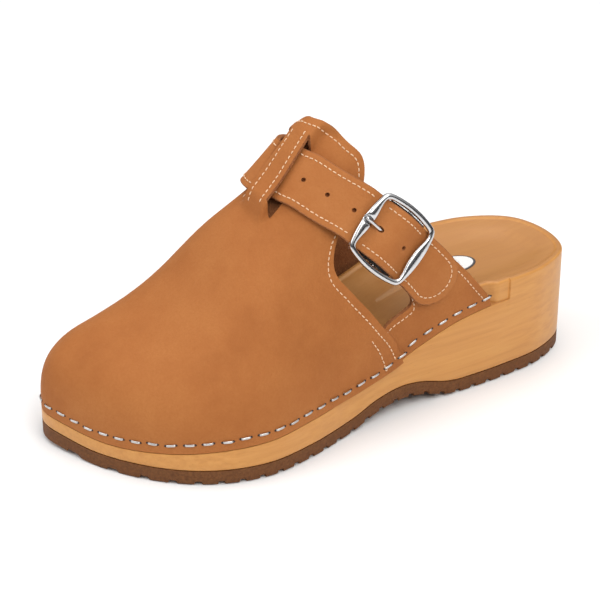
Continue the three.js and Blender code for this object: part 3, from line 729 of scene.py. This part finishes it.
def wooden_sole():
    y = OUTLINE[:, 1]
    step = np.where(y < REBATE_END, lerp(REBATE_DEPTH, 0.9, smoothstep(y, 71, 77)), 0.0)
    loops = [level(k, lambda v, k=k: footbed(v, k))
             for k in (300, 50, 42, 36, 30, 26, 22, 19, 16, 13.5, 11.5, 9.5)]
    for k in (4.6, 4.0, 3.5, 3.0, 2.5):
        loops.append(level(step + k, lambda v, k=k: footbed(v, step + k, k)))
    for turn in np.radians((0, 18, 36, 54, 72, 90)):
        drop = RIM_ROUND * (1 - math.cos(turn))
        loops.append(level(step + RIM_ROUND * (1 - math.sin(turn)), lambda v, d=drop: rim(v) - d))
    loops.append(level(step, lambda v: ledge(v) + 0.02))
    loops.append(level(np.minimum(step, 0.7), lambda v: ledge(v)))
    loops.append(level(np.minimum(step, 0.2), lambda v: ledge(v) - 0.2))
    loops.append(level(0, lambda v: ledge(v) - 0.8))
    for part in (0.25, 0.5, 0.75):
        loops.append(level(0, lambda v, p=part: lerp(ledge(v) - 0.8, arch(v) + 8, p)))
    for turn in np.radians((0, 30, 60, 90)):
        loops.append(level(1 - math.cos(turn), lambda v, t=turn: arch(v) + 8 - math.sin(t)))
    loops += [level(k, lambda v: arch(v) + 7) for k in (12, 24, 300)]
    faces = capped_faces(len(loops), len(OUTLINE))
    obj = build("wooden_sole_shape", np.vstack(loops), faces, [WOOD], smooth_angle=38)
    triangulate_large(obj)
    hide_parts("wooden_sole")
    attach(obj, "shoe")


def triangulate_large(obj):
    """Cuts the long capping faces into triangles so that they follow the curved surface."""
    bm = bmesh.new()
    bm.from_mesh(obj.data)
    large = [f for f in bm.faces if len(f.verts) > 8]
    bmesh.ops.triangulate(bm, faces=large)
    bm.to_mesh(obj.data)
    bm.free()


GROOVE_PITCH, GROOVE_WIDTH, GROOVE_DEPTH = 9, 3, 1.3


def outsole():
    grooves = np.arange(-126, 128, GROOVE_PITCH)
    edges = np.concatenate([grooves + s * (GROOVE_WIDTH / 2 + k) for s in (-1, 1) for k in (-0.12, 0.12)])
    spread = -np.cos(np.linspace(0, np.pi, 260)) * 130.96
    rows = np.unique(np.round(np.concatenate([edges, spread]), 2))
    rows = rows[(rows > -130.98) & (rows < 130.98)]
    in_groove = (np.abs(rows[:, None] - grooves[None]).min(1) < GROOVE_WIDTH / 2)
    outer, inner = edge_x(rows, 1), edge_x(rows, -1)
    low = arch(rows) + np.where(in_groove, GROOVE_DEPTH, 0)
    top = arch(rows) + 6.95
    points = []
    width = outer - inner
    for side, x in ((1, outer), (-1, inner)):
        corner = [(0, top), (0, lerp(top, low, 0.5)), (0, low + 0.9), (0.28, low + 0.28), (0.9, low),
                  (6, low)]
        ring = [np.stack([x - side * np.minimum(k, width * 0.45), rows, z], 1) for k, z in corner]
        points += ring if side > 0 else ring[::-1]
    grid = np.stack(points, 1)
    obj = build("outsole_shape", grid.reshape(-1, 3), capped_faces(len(rows), grid.shape[1]), [RUBBER])
    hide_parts("outsole")
    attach(obj, "shoe")


LABEL_X, LABEL_Y, LABEL_LENGTH, LABEL_WIDTH = 0.5, 73.5, 26, 16


def label():
    steps = 72
    turn = np.linspace(0, 2 * np.pi, steps, endpoint=False)

    def ring(scale, lift):
        x = LABEL_X + np.cos(turn) * LABEL_WIDTH / 2 * scale
        y = LABEL_Y + np.sin(turn) * LABEL_LENGTH / 2 * scale
        return np.stack([x, y, rim(y) - dish_depth(y) + lift], 1)

    rim_rings = [ring(1, 0), ring(1, 0.3), ring(0.98, 0.42), ring(0.9, 0.44)]
    film_rings = [ring(0.88, 0.42), ring(0.6, 0.42), ring(0.3, 0.42)]
    rings = rim_rings + film_rings
    obj = build("insole_label_oval", np.vstack(rings), capped_faces(len(rings), steps), [FILM, FILM_RIM],
                [1] * 3 * steps + [0] * 3 * steps + [1, 0])
    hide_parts("insole_label")
    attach(obj, "shoe")


# ---------- vamp ----------
EDGE_ROUND = 0.4


def vamp():
    around = np.concatenate([np.linspace(0, 66, 56, endpoint=False), np.linspace(66, 114, 73),
                             np.linspace(114, 180, 57)[1:]])
    steps = np.linspace(0, 1, 112)
    rear = vamp_rear(around)
    y = lerp(TOE_CENTRE, rear[None], steps[:, None])
    back = vamp_point(y, np.broadcast_to(around, y.shape))
    toe = OUTLINE[OUTLINE[:, 1] < TOE_CENTRE - 0.4][::2]
    ends = [np.array([[float(edge_x(TOE_CENTRE, s)), TOE_CENTRE]]) for s in (1, -1)]
    columns = np.vstack([ends[0], toe, ends[1]])
    outwards = np.clip((columns[:, 0] - ridge_x(TOE_CENTRE)) / 32, -1, 1) / 2 + 0.5
    fullness = lerp(inner_fullness(columns[:, 1]), outer_fullness(columns[:, 1]), outwards)
    quarter = np.radians(around[around <= 90])
    cap = form_point(columns[:, None, :], fullness[:, None], quarter[None, :])
    back[..., 2] += GAP
    cap[..., 2] += GAP
    obj = sheet("vamp_leather", [back, cap[::-1]], LEATHER, [NUBUCK, SUEDE, RAW_EDGE],
                (SLOT_OUTER, SLOT_INNER))
    soften(obj, EDGE_ROUND)
    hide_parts("vamp")
    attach(obj, "shoe")


def slot_lining():
    """A thin suede patch under the vamp behind both slots, which the strap runs over."""
    y, degrees = np.linspace(-41, -0.6, 40), np.linspace(68, 111, 50)
    surface = form(y[:, None], degrees[None, :])
    surface += form_normal(y[:, None], degrees[None, :]) * -(STRAP_THICKNESS + LEATHER + 4 * GAP)
    obj = sheet("slot_lining", [surface], 0.9, [SUEDE, SUEDE, RAW_EDGE])
    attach(obj, "shoe")


def vamp_edge(from_degrees, to_degrees, count):
    degrees = np.linspace(from_degrees, to_degrees, count)
    y = vamp_rear(degrees)
    up = np.array([0, 0, GAP])
    return vamp_point(y, degrees) + up, vamp_normal(y, degrees)


def vamp_normal(y, degrees):
    d = np.clip(degrees, 1, 179)
    along = vamp_point(y + 0.4, d) - vamp_point(y - 0.4, d)
    around = vamp_point(y, d + 0.4) - vamp_point(y, d - 0.4)
    return unit(np.cross(along, around))


def vamp_thread():
    """The rows of stitches on the vamp: along its rear edge, beside both slots and at its rear corners."""
    up = np.array([0, 0, GAP])
    degrees = np.linspace(3, 177, 700)
    y = vamp_rear(degrees)
    slope = np.gradient(y, degrees)
    points = vamp_point(y, degrees)
    arc = np.linalg.norm(np.gradient(points, degrees, axis=0), axis=1)
    inset = STITCH_INSET * np.sqrt(1 + np.minimum(abs(slope) / np.maximum(arc, 0.2), 2) ** 2)
    y = y - np.minimum(inset, 4.6)
    parts = stitches(vamp_point(y, degrees) + up, vamp_normal(y, degrees))
    for slot, shift, extra in ((SLOT_OUTER, -4.2, 1.6), (SLOT_INNER, 4.4, 1.4), (SLOT_INNER, -4.4, 1.0)):
        (fx, fy), (rx, ry) = slot
        t = np.linspace(-extra / 28, 1 + extra / 28, 60)
        x, yy = lerp(fx, rx, t) + shift, lerp(fy, ry, t)
        side = np.where(x > ridge_x(yy), 1, -1)
        fullness = np.where(side > 0, outer_fullness(yy), inner_fullness(yy))
        inwards = abs((x - ridge_x(yy)) / (edge_x(yy, side) - ridge_x(yy)))
        d = np.degrees(np.arccos(inwards ** (fullness / 2)))
        d = np.where(side > 0, d, 180 - d)
        parts += stitches(vamp_point(yy, d) + up, vamp_normal(yy, d))
    for side, known in ((1, 4), (-1, 3)):
        yy = np.linspace(13.5, 4, 40)
        d = np.interp(yy, (4.5, 8, 10.5, 12)[:known], (13.5, 9.5, 5.5, 2)[:known])
        yy = yy - STITCH_INSET
        d = d if side > 0 else 180 - d
        parts += stitches(vamp_point(yy, d) + up, vamp_normal(yy, d))
    return parts


# ---------- quarters ----------
QUARTER = [(12, 10), (8, 44), (13, 48.5), (20, 51), (26, 53.6), (27.3, 56), (25.5, 60), (25, 66),
           (32, 75), (39, 78.3), (48, 73.5), (58, 62.5), (65, 53.5), (72, 44.5), (73, 10)]


CORNER_CUT = 0.22


def rounded(loop):
    """Cuts the corners off a closed outline, twice."""
    loop = [np.array(p, float) for p in loop]
    for _ in range(2):
        cuts = []
        for i, p in enumerate(loop):
            cuts += [lerp(p, loop[i - 1], CORNER_CUT), lerp(p, loop[(i + 1) % len(loop)], CORNER_CUT)]
        loop = cuts
    return np.array(loop)


def quarter(side, name, node):
    angles = np.linspace(0, 44, 70)
    y = np.linspace(5, 76, 90)
    degrees = angles if side > 0 else (180 - angles)[::-1]
    grid = form(y[:, None], degrees[None, :])
    grid[..., 2] += GAP
    obj = sheet(name, [grid], LEATHER, [NUBUCK, SUEDE, RAW_EDGE])
    loop = rounded(QUARTER)
    near = np.column_stack([np.full(len(loop), side * 2.0), loop])
    far = np.column_stack([np.full(len(loop), side * 90.0), loop])
    cut(obj, prism("quarter_tool", near, far, [NUBUCK, SUEDE, RAW_EDGE]), "INTERSECT")
    soften(obj, EDGE_ROUND)
    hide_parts(node)
    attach(obj, "shoe")


def on_side(y, z, side, lift=0.0):
    """Points of the form at given y and z, on one side, with their normals."""
    fullness = outer_fullness(y) if side > 0 else inner_fullness(y)
    up = np.clip((z - GAP - ledge(y)) / (ridge_height(y) - ledge(y)), 0, 1)
    d = np.degrees(np.arcsin(up ** (fullness / 2)))
    d = d if side > 0 else 180 - d
    n = form_normal(y, d)
    return form(y, d) + (0, 0, GAP) + n * lift, n


def quarter_rows(side):
    """The quarter's edges in view, as surface paths with normals: front with top, and rear."""
    loop = catmull_rom([(8.4, 44.3), (13, 48.6), (20, 51.2), (26, 54), (26.6, 57), (25.4, 61)], 20)
    rear = catmull_rom([(44, 76), (48, 73.4), (58, 62.4), (65, 53.4), (70.5, 46.8)], 20)
    return [on_side(p[:, 0], p[:, 1], side) for p in (loop, rear)]


def flattened(way, normals):
    """A direction in the YZ plane, laid flat on the surface at each of its normals."""
    way = np.array([0, *way])
    return unit(way - normals * (normals @ way)[:, None])


def quarter_thread():
    parts = []
    for side in (1, -1):
        for (points, normals), inwards in zip(quarter_rows(side), ((0.35, -1), (-0.78, -0.62))):
            parts += stitches(points + flattened(inwards, normals) * STITCH_INSET, normals)
    return parts


# ---------- strap ----------
ALONG = unit(np.array([0.3, 0.658, -0.69]))
OUT = unit(np.cross(ALONG, (-0.091, 0.741, 0.665)))
ACROSS = np.cross(OUT, ALONG)
FRAME_CENTRE = np.array([31.6, 16.4, 89.4])
PIN_DEPTH, PIN_RADIUS = 1.8, 1.1


def in_frame(along, across, out):
    return FRAME_CENTRE + ALONG * along + ACROSS * across + OUT * out


ON_TIP = [(42.6, 8.9, 2.1), (40, 11.5, 2.1), (35.5, 16.5, 2.35)]
IN_BUCKLE = [(20, -4.3), (15.5, -3.4), (11, -2.1), (5.5, 0.6), (0, 1.75), (-5.5, 0.6), (-11, -2.1),
             (-15.5, -3.4), (-20, -4.2)]
ON_INSTEP = [(-5.5, 57.7, -0.9), (-11.5, 68.5, -0.9), (-14.3, 74.5, -1.1), (-16, 80, -1.6), (-17.6, 86, -1.7),
             (-18.6, 92, -1.4), (-18.6, 98, 0.4), (-17, 105, 3), (-12.7, 114, 3.2), (-5, 125, 1.9), (5, 137, 1.0),
             (17, 148, 1.3), (28, 157, 1.6), (34, 163, 1.6)]


def strap_lines():
    """The strap's middle line and the direction across it, at stations every 0.7 mm or so."""
    centres, normals = [], []
    for group, made in ((ON_TIP, "leather"), (IN_BUCKLE, "buckle"), (ON_INSTEP, "leather")):
        for row in group:
            if made == "buckle":
                centres.append(in_frame(row[0], 0, row[1]))
                normals.append(None)
            else:
                n = form_normal(float(row[0]), float(row[1]))
                centres.append(form(float(row[0]), float(row[1])) + n * row[2])
                normals.append(n)
    across = []
    for i, n in enumerate(normals):
        along = centres[min(i + 1, len(centres) - 1)] - centres[max(i - 1, 0)]
        across.append(ACROSS if n is None else unit(np.cross(along, n)))
    line = catmull_rom(centres, 8)
    beside = catmull_rom(np.array(centres) + np.array(across) * 10, 8)
    return line, unit(beside - line)


LINE, BESIDE = strap_lines()
RUN = lengths(LINE)
TANGENT = unit(np.gradient(LINE, axis=0))
STRAP_OUT = unit(np.cross(BESIDE, TANGENT))
STRAP_LENGTH = RUN[-1]
TIP_ROUND = 12.0


def strap_point(s, w, lift):
    """A point of the strap: s mm from its tip, w mm across it, lift mm above its middle surface."""
    s, w, lift = np.broadcast_arrays(*(np.asarray(v, float) for v in (s, w, lift)))
    pick = lambda table: np.stack([np.interp(s, RUN, table[:, k]) for k in range(3)], -1)
    return pick(LINE) + unit(pick(BESIDE)) * w[..., None] + unit(pick(STRAP_OUT)) * lift[..., None]


def half_width(s):
    rounding = np.clip(1 - (s + 0.02) / TIP_ROUND, 0, 1)
    return STRAP_WIDTH / 2 * np.sqrt(np.clip(1 - rounding ** 2.4, 0, 1))


def strap():
    s = np.concatenate([np.linspace(0, 1, 9) ** 2 * 6, np.arange(6.6, STRAP_LENGTH, 0.75), [STRAP_LENGTH]])
    t, edge = STRAP_THICKNESS / 2, 0.45
    section = [(-1, -t + edge, 0), (-1, t - edge, 0), (-1, t - 0.13, 0.13), (-1, t, edge)]
    section += [(u, t, 0) for u in np.linspace(-0.9, 0.9, 13)]
    section += [(1, t, edge), (1, t - 0.13, 0.13), (1, t - edge, 0), (1, -t + edge, 0), (1, -t, edge)]
    section += [(u, -t, 0) for u in np.linspace(0.9, -0.9, 13)]
    section += [(-1, -t, edge)]
    half = half_width(s)
    grid = []
    for u, lift, inset in section:
        if abs(u) == 1:
            w = np.sign(u) * (half - np.minimum(inset, half * 0.6))
        else:
            w = u * np.maximum(half - edge, half * 0.4)
        grid.append(strap_point(s, w, lift))
    around = [2] * 3 + [0] * 14 + [2] * 4 + [1] * 15
    obj = build("strap_leather", np.stack(grid, 1).reshape(-1, 3), capped_faces(len(s), len(section)),
                [STRAP_LEATHER, SUEDE, RAW_EDGE], around * (len(s) - 1) + [2, 2])
    for tool in hole_tools():
        cut(obj, tool)
    blend_strap(obj)
    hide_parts("strap", "strap_tip")


def run_of(point):
    return RUN[np.linalg.norm(LINE - point, axis=1).argmin()]


def hole_places():
    return [run_of(in_frame(6.2, 0, -0.5))] + [run_of(p) for p in
            (np.array([20.1, 2.3, 101.9]), np.array([12.1, -5.5, 109]), np.array([1.8, -11.5, 114.3]))]


HOLE_RADIUS = 1.05


def hole_tool(s, long, wide, low):
    turn = np.linspace(0, 2 * np.pi, 28, endpoint=False)
    ring = lambda lift: strap_point(s + np.cos(turn) * long, np.sin(turn) * wide, lift)
    # the cut walls of each hole get the painted hole shade as their colour
    return prism("hole_tool", ring(low), ring(4), [STRAP_LEATHER, SUEDE, HOLE_SHADE])


def hole_tools():
    """The round holes, cut from above, and the longer one that the prong comes up through."""
    tools = [hole_tool(s, HOLE_RADIUS, HOLE_RADIUS, -0.8) for s in hole_places()]
    return tools + [hole_tool(run_of(in_frame(-8.2, 0, 0)), 2.0, 1.3, -4)]


HINGE = np.array([35.994 - CENTRE_X, 30.091, 74.625])


def blend_strap(obj):
    way = unit(np.array([0.75, 0.45, -0.48]))
    start, end = ((HINGE + (CENTRE_X, 0, 0) + way * k) * MM for k in (-4, 4))
    tuple(start)
    tuple(end)
    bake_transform(obj)


def strap_thread():
    lift = STRAP_THICKNESS / 2
    s = np.linspace(TIP_ROUND, STRAP_LENGTH - 3, 900)
    turn = np.linspace(-np.pi / 2, np.pi / 2, 60)
    tip_s = STITCH_INSET + 0.3 + (1 - np.cos(turn)) * (TIP_ROUND - STITCH_INSET)
    reach = STRAP_WIDTH / 2 - STITCH_INSET
    path_s = np.concatenate([s[::-1], tip_s[1:-1], s])
    path_w = np.concatenate([np.full(len(s), -reach), np.sin(turn[1:-1]) * reach, np.full(len(s), reach)])
    keep = strap_point(path_s, path_w, lift)
    normals = unit(strap_point(path_s, path_w, lift + 1) - keep)
    return [part for part in stitches(keep, normals) if not under_bar(part[0].mean(0))]


def under_bar(point):
    """Whether a stitch lies under one of the frame's two broad sides, where it would be out of sight."""
    offset = point - FRAME_CENTRE
    return 11.6 < abs(offset @ ALONG) < 18.6 and abs(offset @ OUT) < 7


# ---------- buckle ----------
FRAME_SIDE, FRAME_BOW, FRAME_THICKNESS = 30.8, 2.4, 2.9


def frame_radius(angle):
    """Distance from the middle to the frame's outer edge: four bowed sides with rounded corners."""
    half = FRAME_SIDE / 2 + FRAME_BOW
    radius = ((FRAME_SIDE / 2) ** 2 + FRAME_BOW ** 2) / (2 * FRAME_BOW)
    total = np.zeros_like(angle)
    for side in range(4):
        lean = np.cos(angle - side * np.pi / 2) * (half - radius)
        reach = lean + np.sqrt(lean ** 2 - (half - radius) ** 2 + radius ** 2)
        total += np.where(reach > 0, np.maximum(reach, 1e-3) ** -22, 0)
    return total ** (-1 / 22)


def buckle_frame():
    steps, sides = 240, 20
    angle = np.linspace(0, 2 * np.pi, steps, endpoint=False)
    outer = frame_radius(angle)
    broad = np.clip((abs(np.cos(angle)) - 0.72) / 0.28, 0, 1)
    width = lerp(3.0, 5.4, smoothstep(broad, 0, 1))
    turn = np.arange(sides) / sides * 2 * np.pi
    c, s = np.cos(turn), np.sin(turn)
    r = (outer - width / 2)[:, None] + np.sign(c) * abs(c) ** 0.9 * width[:, None] / 2
    z = np.sign(s) * abs(s) ** 0.8 * FRAME_THICKNESS / 2 * np.ones_like(r)
    u, v = r * np.cos(angle)[:, None], r * np.sin(angle)[:, None]
    groove = np.exp(-(v / 1.5) ** 2) * (u < 0) * np.clip(z / (FRAME_THICKNESS / 2), 0, 1)
    z = z - groove * 1.5
    points = FRAME_CENTRE + u[..., None] * ALONG + v[..., None] * ACROSS + z[..., None] * OUT
    obj = build("buckle_frame_bar", points.reshape(-1, 3), ring_faces(steps, sides), [CHROME], smooth_angle=60)
    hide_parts("buckle_frame")
    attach(obj, "buckle")


def buckle_pin():
    half = FRAME_SIDE / 2 + FRAME_BOW - 2.2
    t = np.linspace(-1, 1, 9)
    line = in_frame(0, 0, -PIN_DEPTH) + np.outer(t * half, ACROSS) + np.outer(np.abs(t) ** 6 * 1.2, OUT)
    obj = join("buckle_bar", [tube(line, PIN_RADIUS * (1 - 0.1 * abs(t) ** 8), OUT, 20)], [CHROME])
    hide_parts("buckle_pin")
    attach(obj, "buckle")


PRONG_LENGTH, PRONG_RISE = 17.8, 13.6
EYE_RADIUS = PIN_RADIUS + 0.62


def prong():
    rise = math.radians(PRONG_RISE)
    way = -ALONG * math.cos(rise) + OUT * math.sin(rise)
    up = ALONG * math.sin(rise) + OUT * math.cos(rise)
    pin = in_frame(0, 0, -PIN_DEPTH)
    t = np.linspace(0, 1, 26)
    run = lerp(PIN_RADIUS + 0.6, PRONG_LENGTH, t)
    radius = 1.02 - 0.2 * t
    radius = radius * np.sqrt(np.clip(1 - np.clip((t - 0.94) / 0.062, 0, 1) ** 2, 0.02, 1))
    droop = 0.35 * np.maximum(t - 0.8, 0) ** 2 * 25
    shaft = tube(pin + np.outer(run, way) - np.outer(droop, up), radius, up, 16, 0.9)
    steps, sides = 40, 12
    turn = np.linspace(0, 2 * np.pi, steps, endpoint=False)
    section = np.arange(sides) / sides * 2 * np.pi
    radial = np.outer(np.cos(turn), ALONG) + np.outer(np.sin(turn), OUT)
    eye = ((pin + radial * EYE_RADIUS)[:, None] + radial[:, None] * (np.cos(section) * 0.5)[None, :, None]
           + ACROSS * (np.sin(section) * 1.3)[None, :, None]).reshape(-1, 3)
    obj = join("prong_wire", [shaft, (eye, ring_faces(steps, sides))], [CHROME], 60)
    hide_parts("prong")
    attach(obj, "prong")


RIBS, ELASTIC_HALF = 31, 0.32


def anchor_loop():
    """Ribbed elastic beside the prong: two strips round the buckle's bar, and two under the strap."""
    pin = in_frame(0, 0, -PIN_DEPTH)
    turn = np.radians(np.linspace(-90, 200, 34))
    radius = PIN_RADIUS + 0.45
    wrap = pin + np.outer(np.cos(-turn), ALONG) * -radius + np.outer(np.sin(turn), OUT) * radius
    tail_out = [(k, -radius - 0.1 - 0.012 * k * k) for k in np.linspace(8.5, 0.5, 12)]
    round_bar = np.vstack([[pin + ALONG * a + OUT * o for a, o in tail_out], wrap])
    round_bar = resample(round_bar, np.linspace(0, lengths(round_bar)[-1], 60))
    under = [pin + ALONG * a + OUT * (o - STRAP_THICKNESS / 2 - 0.5 + PIN_DEPTH)
             for a, o in IN_BUCKLE if abs(a) < 12]
    under = resample(np.array(under), np.linspace(0, 22.5, 40))
    parts = []
    for line, centre, width in ((round_bar, -8.2, 11.4), (round_bar, 8.2, 11.4),
                                (under, -8.3, 12.0), (under, 8.3, 12.0)):
        normal = unit(np.cross(unit(np.gradient(line, axis=0)), ACROSS))
        columns = np.linspace(-width / 2, width / 2, RIBS)
        rib = 0.1 * np.cos(np.arange(RIBS) * np.pi)
        middle = line[:, None] + ACROSS * (centre + columns)[None, :, None]
        top = middle + normal[:, None] * (ELASTIC_HALF + rib)[None, :, None]
        low = middle - normal[:, None] * ELASTIC_HALF
        loop = np.concatenate([top, low[:, ::-1]], 1)
        parts.append((loop.reshape(-1, 3), capped_faces(len(line), loop.shape[1])))
        for edge, outwards in ((0, -1), (-1, 1)):
            away = np.broadcast_to(ACROSS * outwards, line.shape)
            parts += fuzz(top[:, edge], normal, away, 140, 1.6, 0.5)
    obj = join("elastic_loop", parts, [ELASTIC])
    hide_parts("anchor_loop")
    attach(obj, "shoe")


# ---------- thread, fuzz, staples ----------
def details():
    thread = join("upper_stitching", vamp_thread() + quarter_thread(), [THREAD])
    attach(thread, "shoe")
    seam = join("strap_stitching", strap_thread(), [THREAD])
    blend_strap(seam)

    fibres = []
    points, normals = vamp_edge(4, 176, 500)
    rearwards = unit(-np.cross(normals, np.gradient(points, axis=0)))
    rearwards *= np.sign((rearwards[:, 1:2] + 1e-6))
    fibres += fuzz(points, normals, rearwards, 420, 1.3, LEATHER)
    for side in (1, -1):
        for (points, normals), outwards in zip(quarter_rows(side), ((-0.35, 1), (0.78, 0.62))):
            fibres += fuzz(points, normals, flattened(outwards, normals), 150, 1.2, LEATHER)
    fluff = join("leather_fuzz", fibres, [RAW_EDGE])
    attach(fluff, "shoe")
    fibres = []
    s = np.linspace(1, STRAP_LENGTH - 2, 700)
    for sign in (-1, 1):
        rim = sign * half_width(s)
        points = strap_point(s, rim, STRAP_THICKNESS / 2 - 0.2)
        normals = unit(strap_point(s, rim, 1) - strap_point(s, rim, 0))
        way = unit(strap_point(s, sign * 10, 0) - strap_point(s, 0, 0))
        fibres += fuzz(points, normals, way, 260, 0.8, 1.6)
    fluff = join("strap_fuzz", fibres, [RAW_EDGE])
    blend_strap(fluff)

    wires, marks = staple_parts()
    staples = join("staple_row", wires, [WIRE], 60)
    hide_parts(*sorted(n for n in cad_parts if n.startswith("staple_")))
    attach(staples, "shoe")
    # the staples' painted hole shade
    holes = join("staple_hole_shade", marks, [HOLE_SHADE])
    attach(holes, "shoe")


# ---------- studio ----------
def studio():
    n = Nodes("studio_floor")
    color = n.mix(n.math("MULTIPLY", n.noise(3, 2), 0.06), (0.93, 0.93, 0.93, 1), (0.88, 0.88, 0.88, 1))
    material = n.finish(Base_Color=color, Roughness=0.9, Specular_IOR_Level=0.1)
    data = bpy.data.meshes.new("studio_floor")
    r = 8.0
    data.from_pydata([(-r, -r, 0), (r, -r, 0), (r, r, 0), (-r, r, 0)], [], [(0, 1, 2, 3)])
    data.materials.append(material)
    floor = link(bpy.data.objects.new("studio_floor", data))
    floor.location.z = -0.0003
    world = bpy.data.worlds.new("studio")
    bpy.context.scene.world = world
    world.use_nodes = True
    tree = world.node_tree
    place = tree.nodes.new("ShaderNodeTexCoord")
    height = tree.nodes.new("ShaderNodeSeparateXYZ")
    sky = tree.nodes.new("ShaderNodeValToRGB")
    tree.links.new(place.outputs["Generated"], height.inputs[0])
    tree.links.new(height.outputs["Z"], sky.inputs["Fac"])
    tree.links.new(sky.outputs["Color"], tree.nodes["Background"].inputs["Color"])
    stops = sky.color_ramp.elements
    stops[0].position, stops[0].color = 0.0, (0.05, 0.05, 0.055, 1)
    stops[1].position, stops[1].color = 0.75, (1, 1, 1, 1)
    stops.new(0.22).color = (0.12, 0.12, 0.125, 1)
    tree.nodes["Background"].inputs["Strength"].default_value = 0.8
    add_light("key", 88, 50, 1.5, 0.9, 10.5, (1, 0.985, 0.96))
    add_light("fill", -20, 45, 1.7, 1.2, 10, (0.98, 0.99, 1))
    add_light("top", 200, 75, 1.6, 1.2, 6, (1, 1, 1))
    bpy.context.scene.view_settings.view_transform = "Standard"


add_camera()
studio()
wooden_sole()
outsole()
label()
vamp()
slot_lining()
quarter(1, "outer_quarter_leather", "outer_quarter")
quarter(-1, "inner_quarter_leather", "inner_quarter")
strap()
buckle_frame()
buckle_pin()
prong()
anchor_loop()
details()
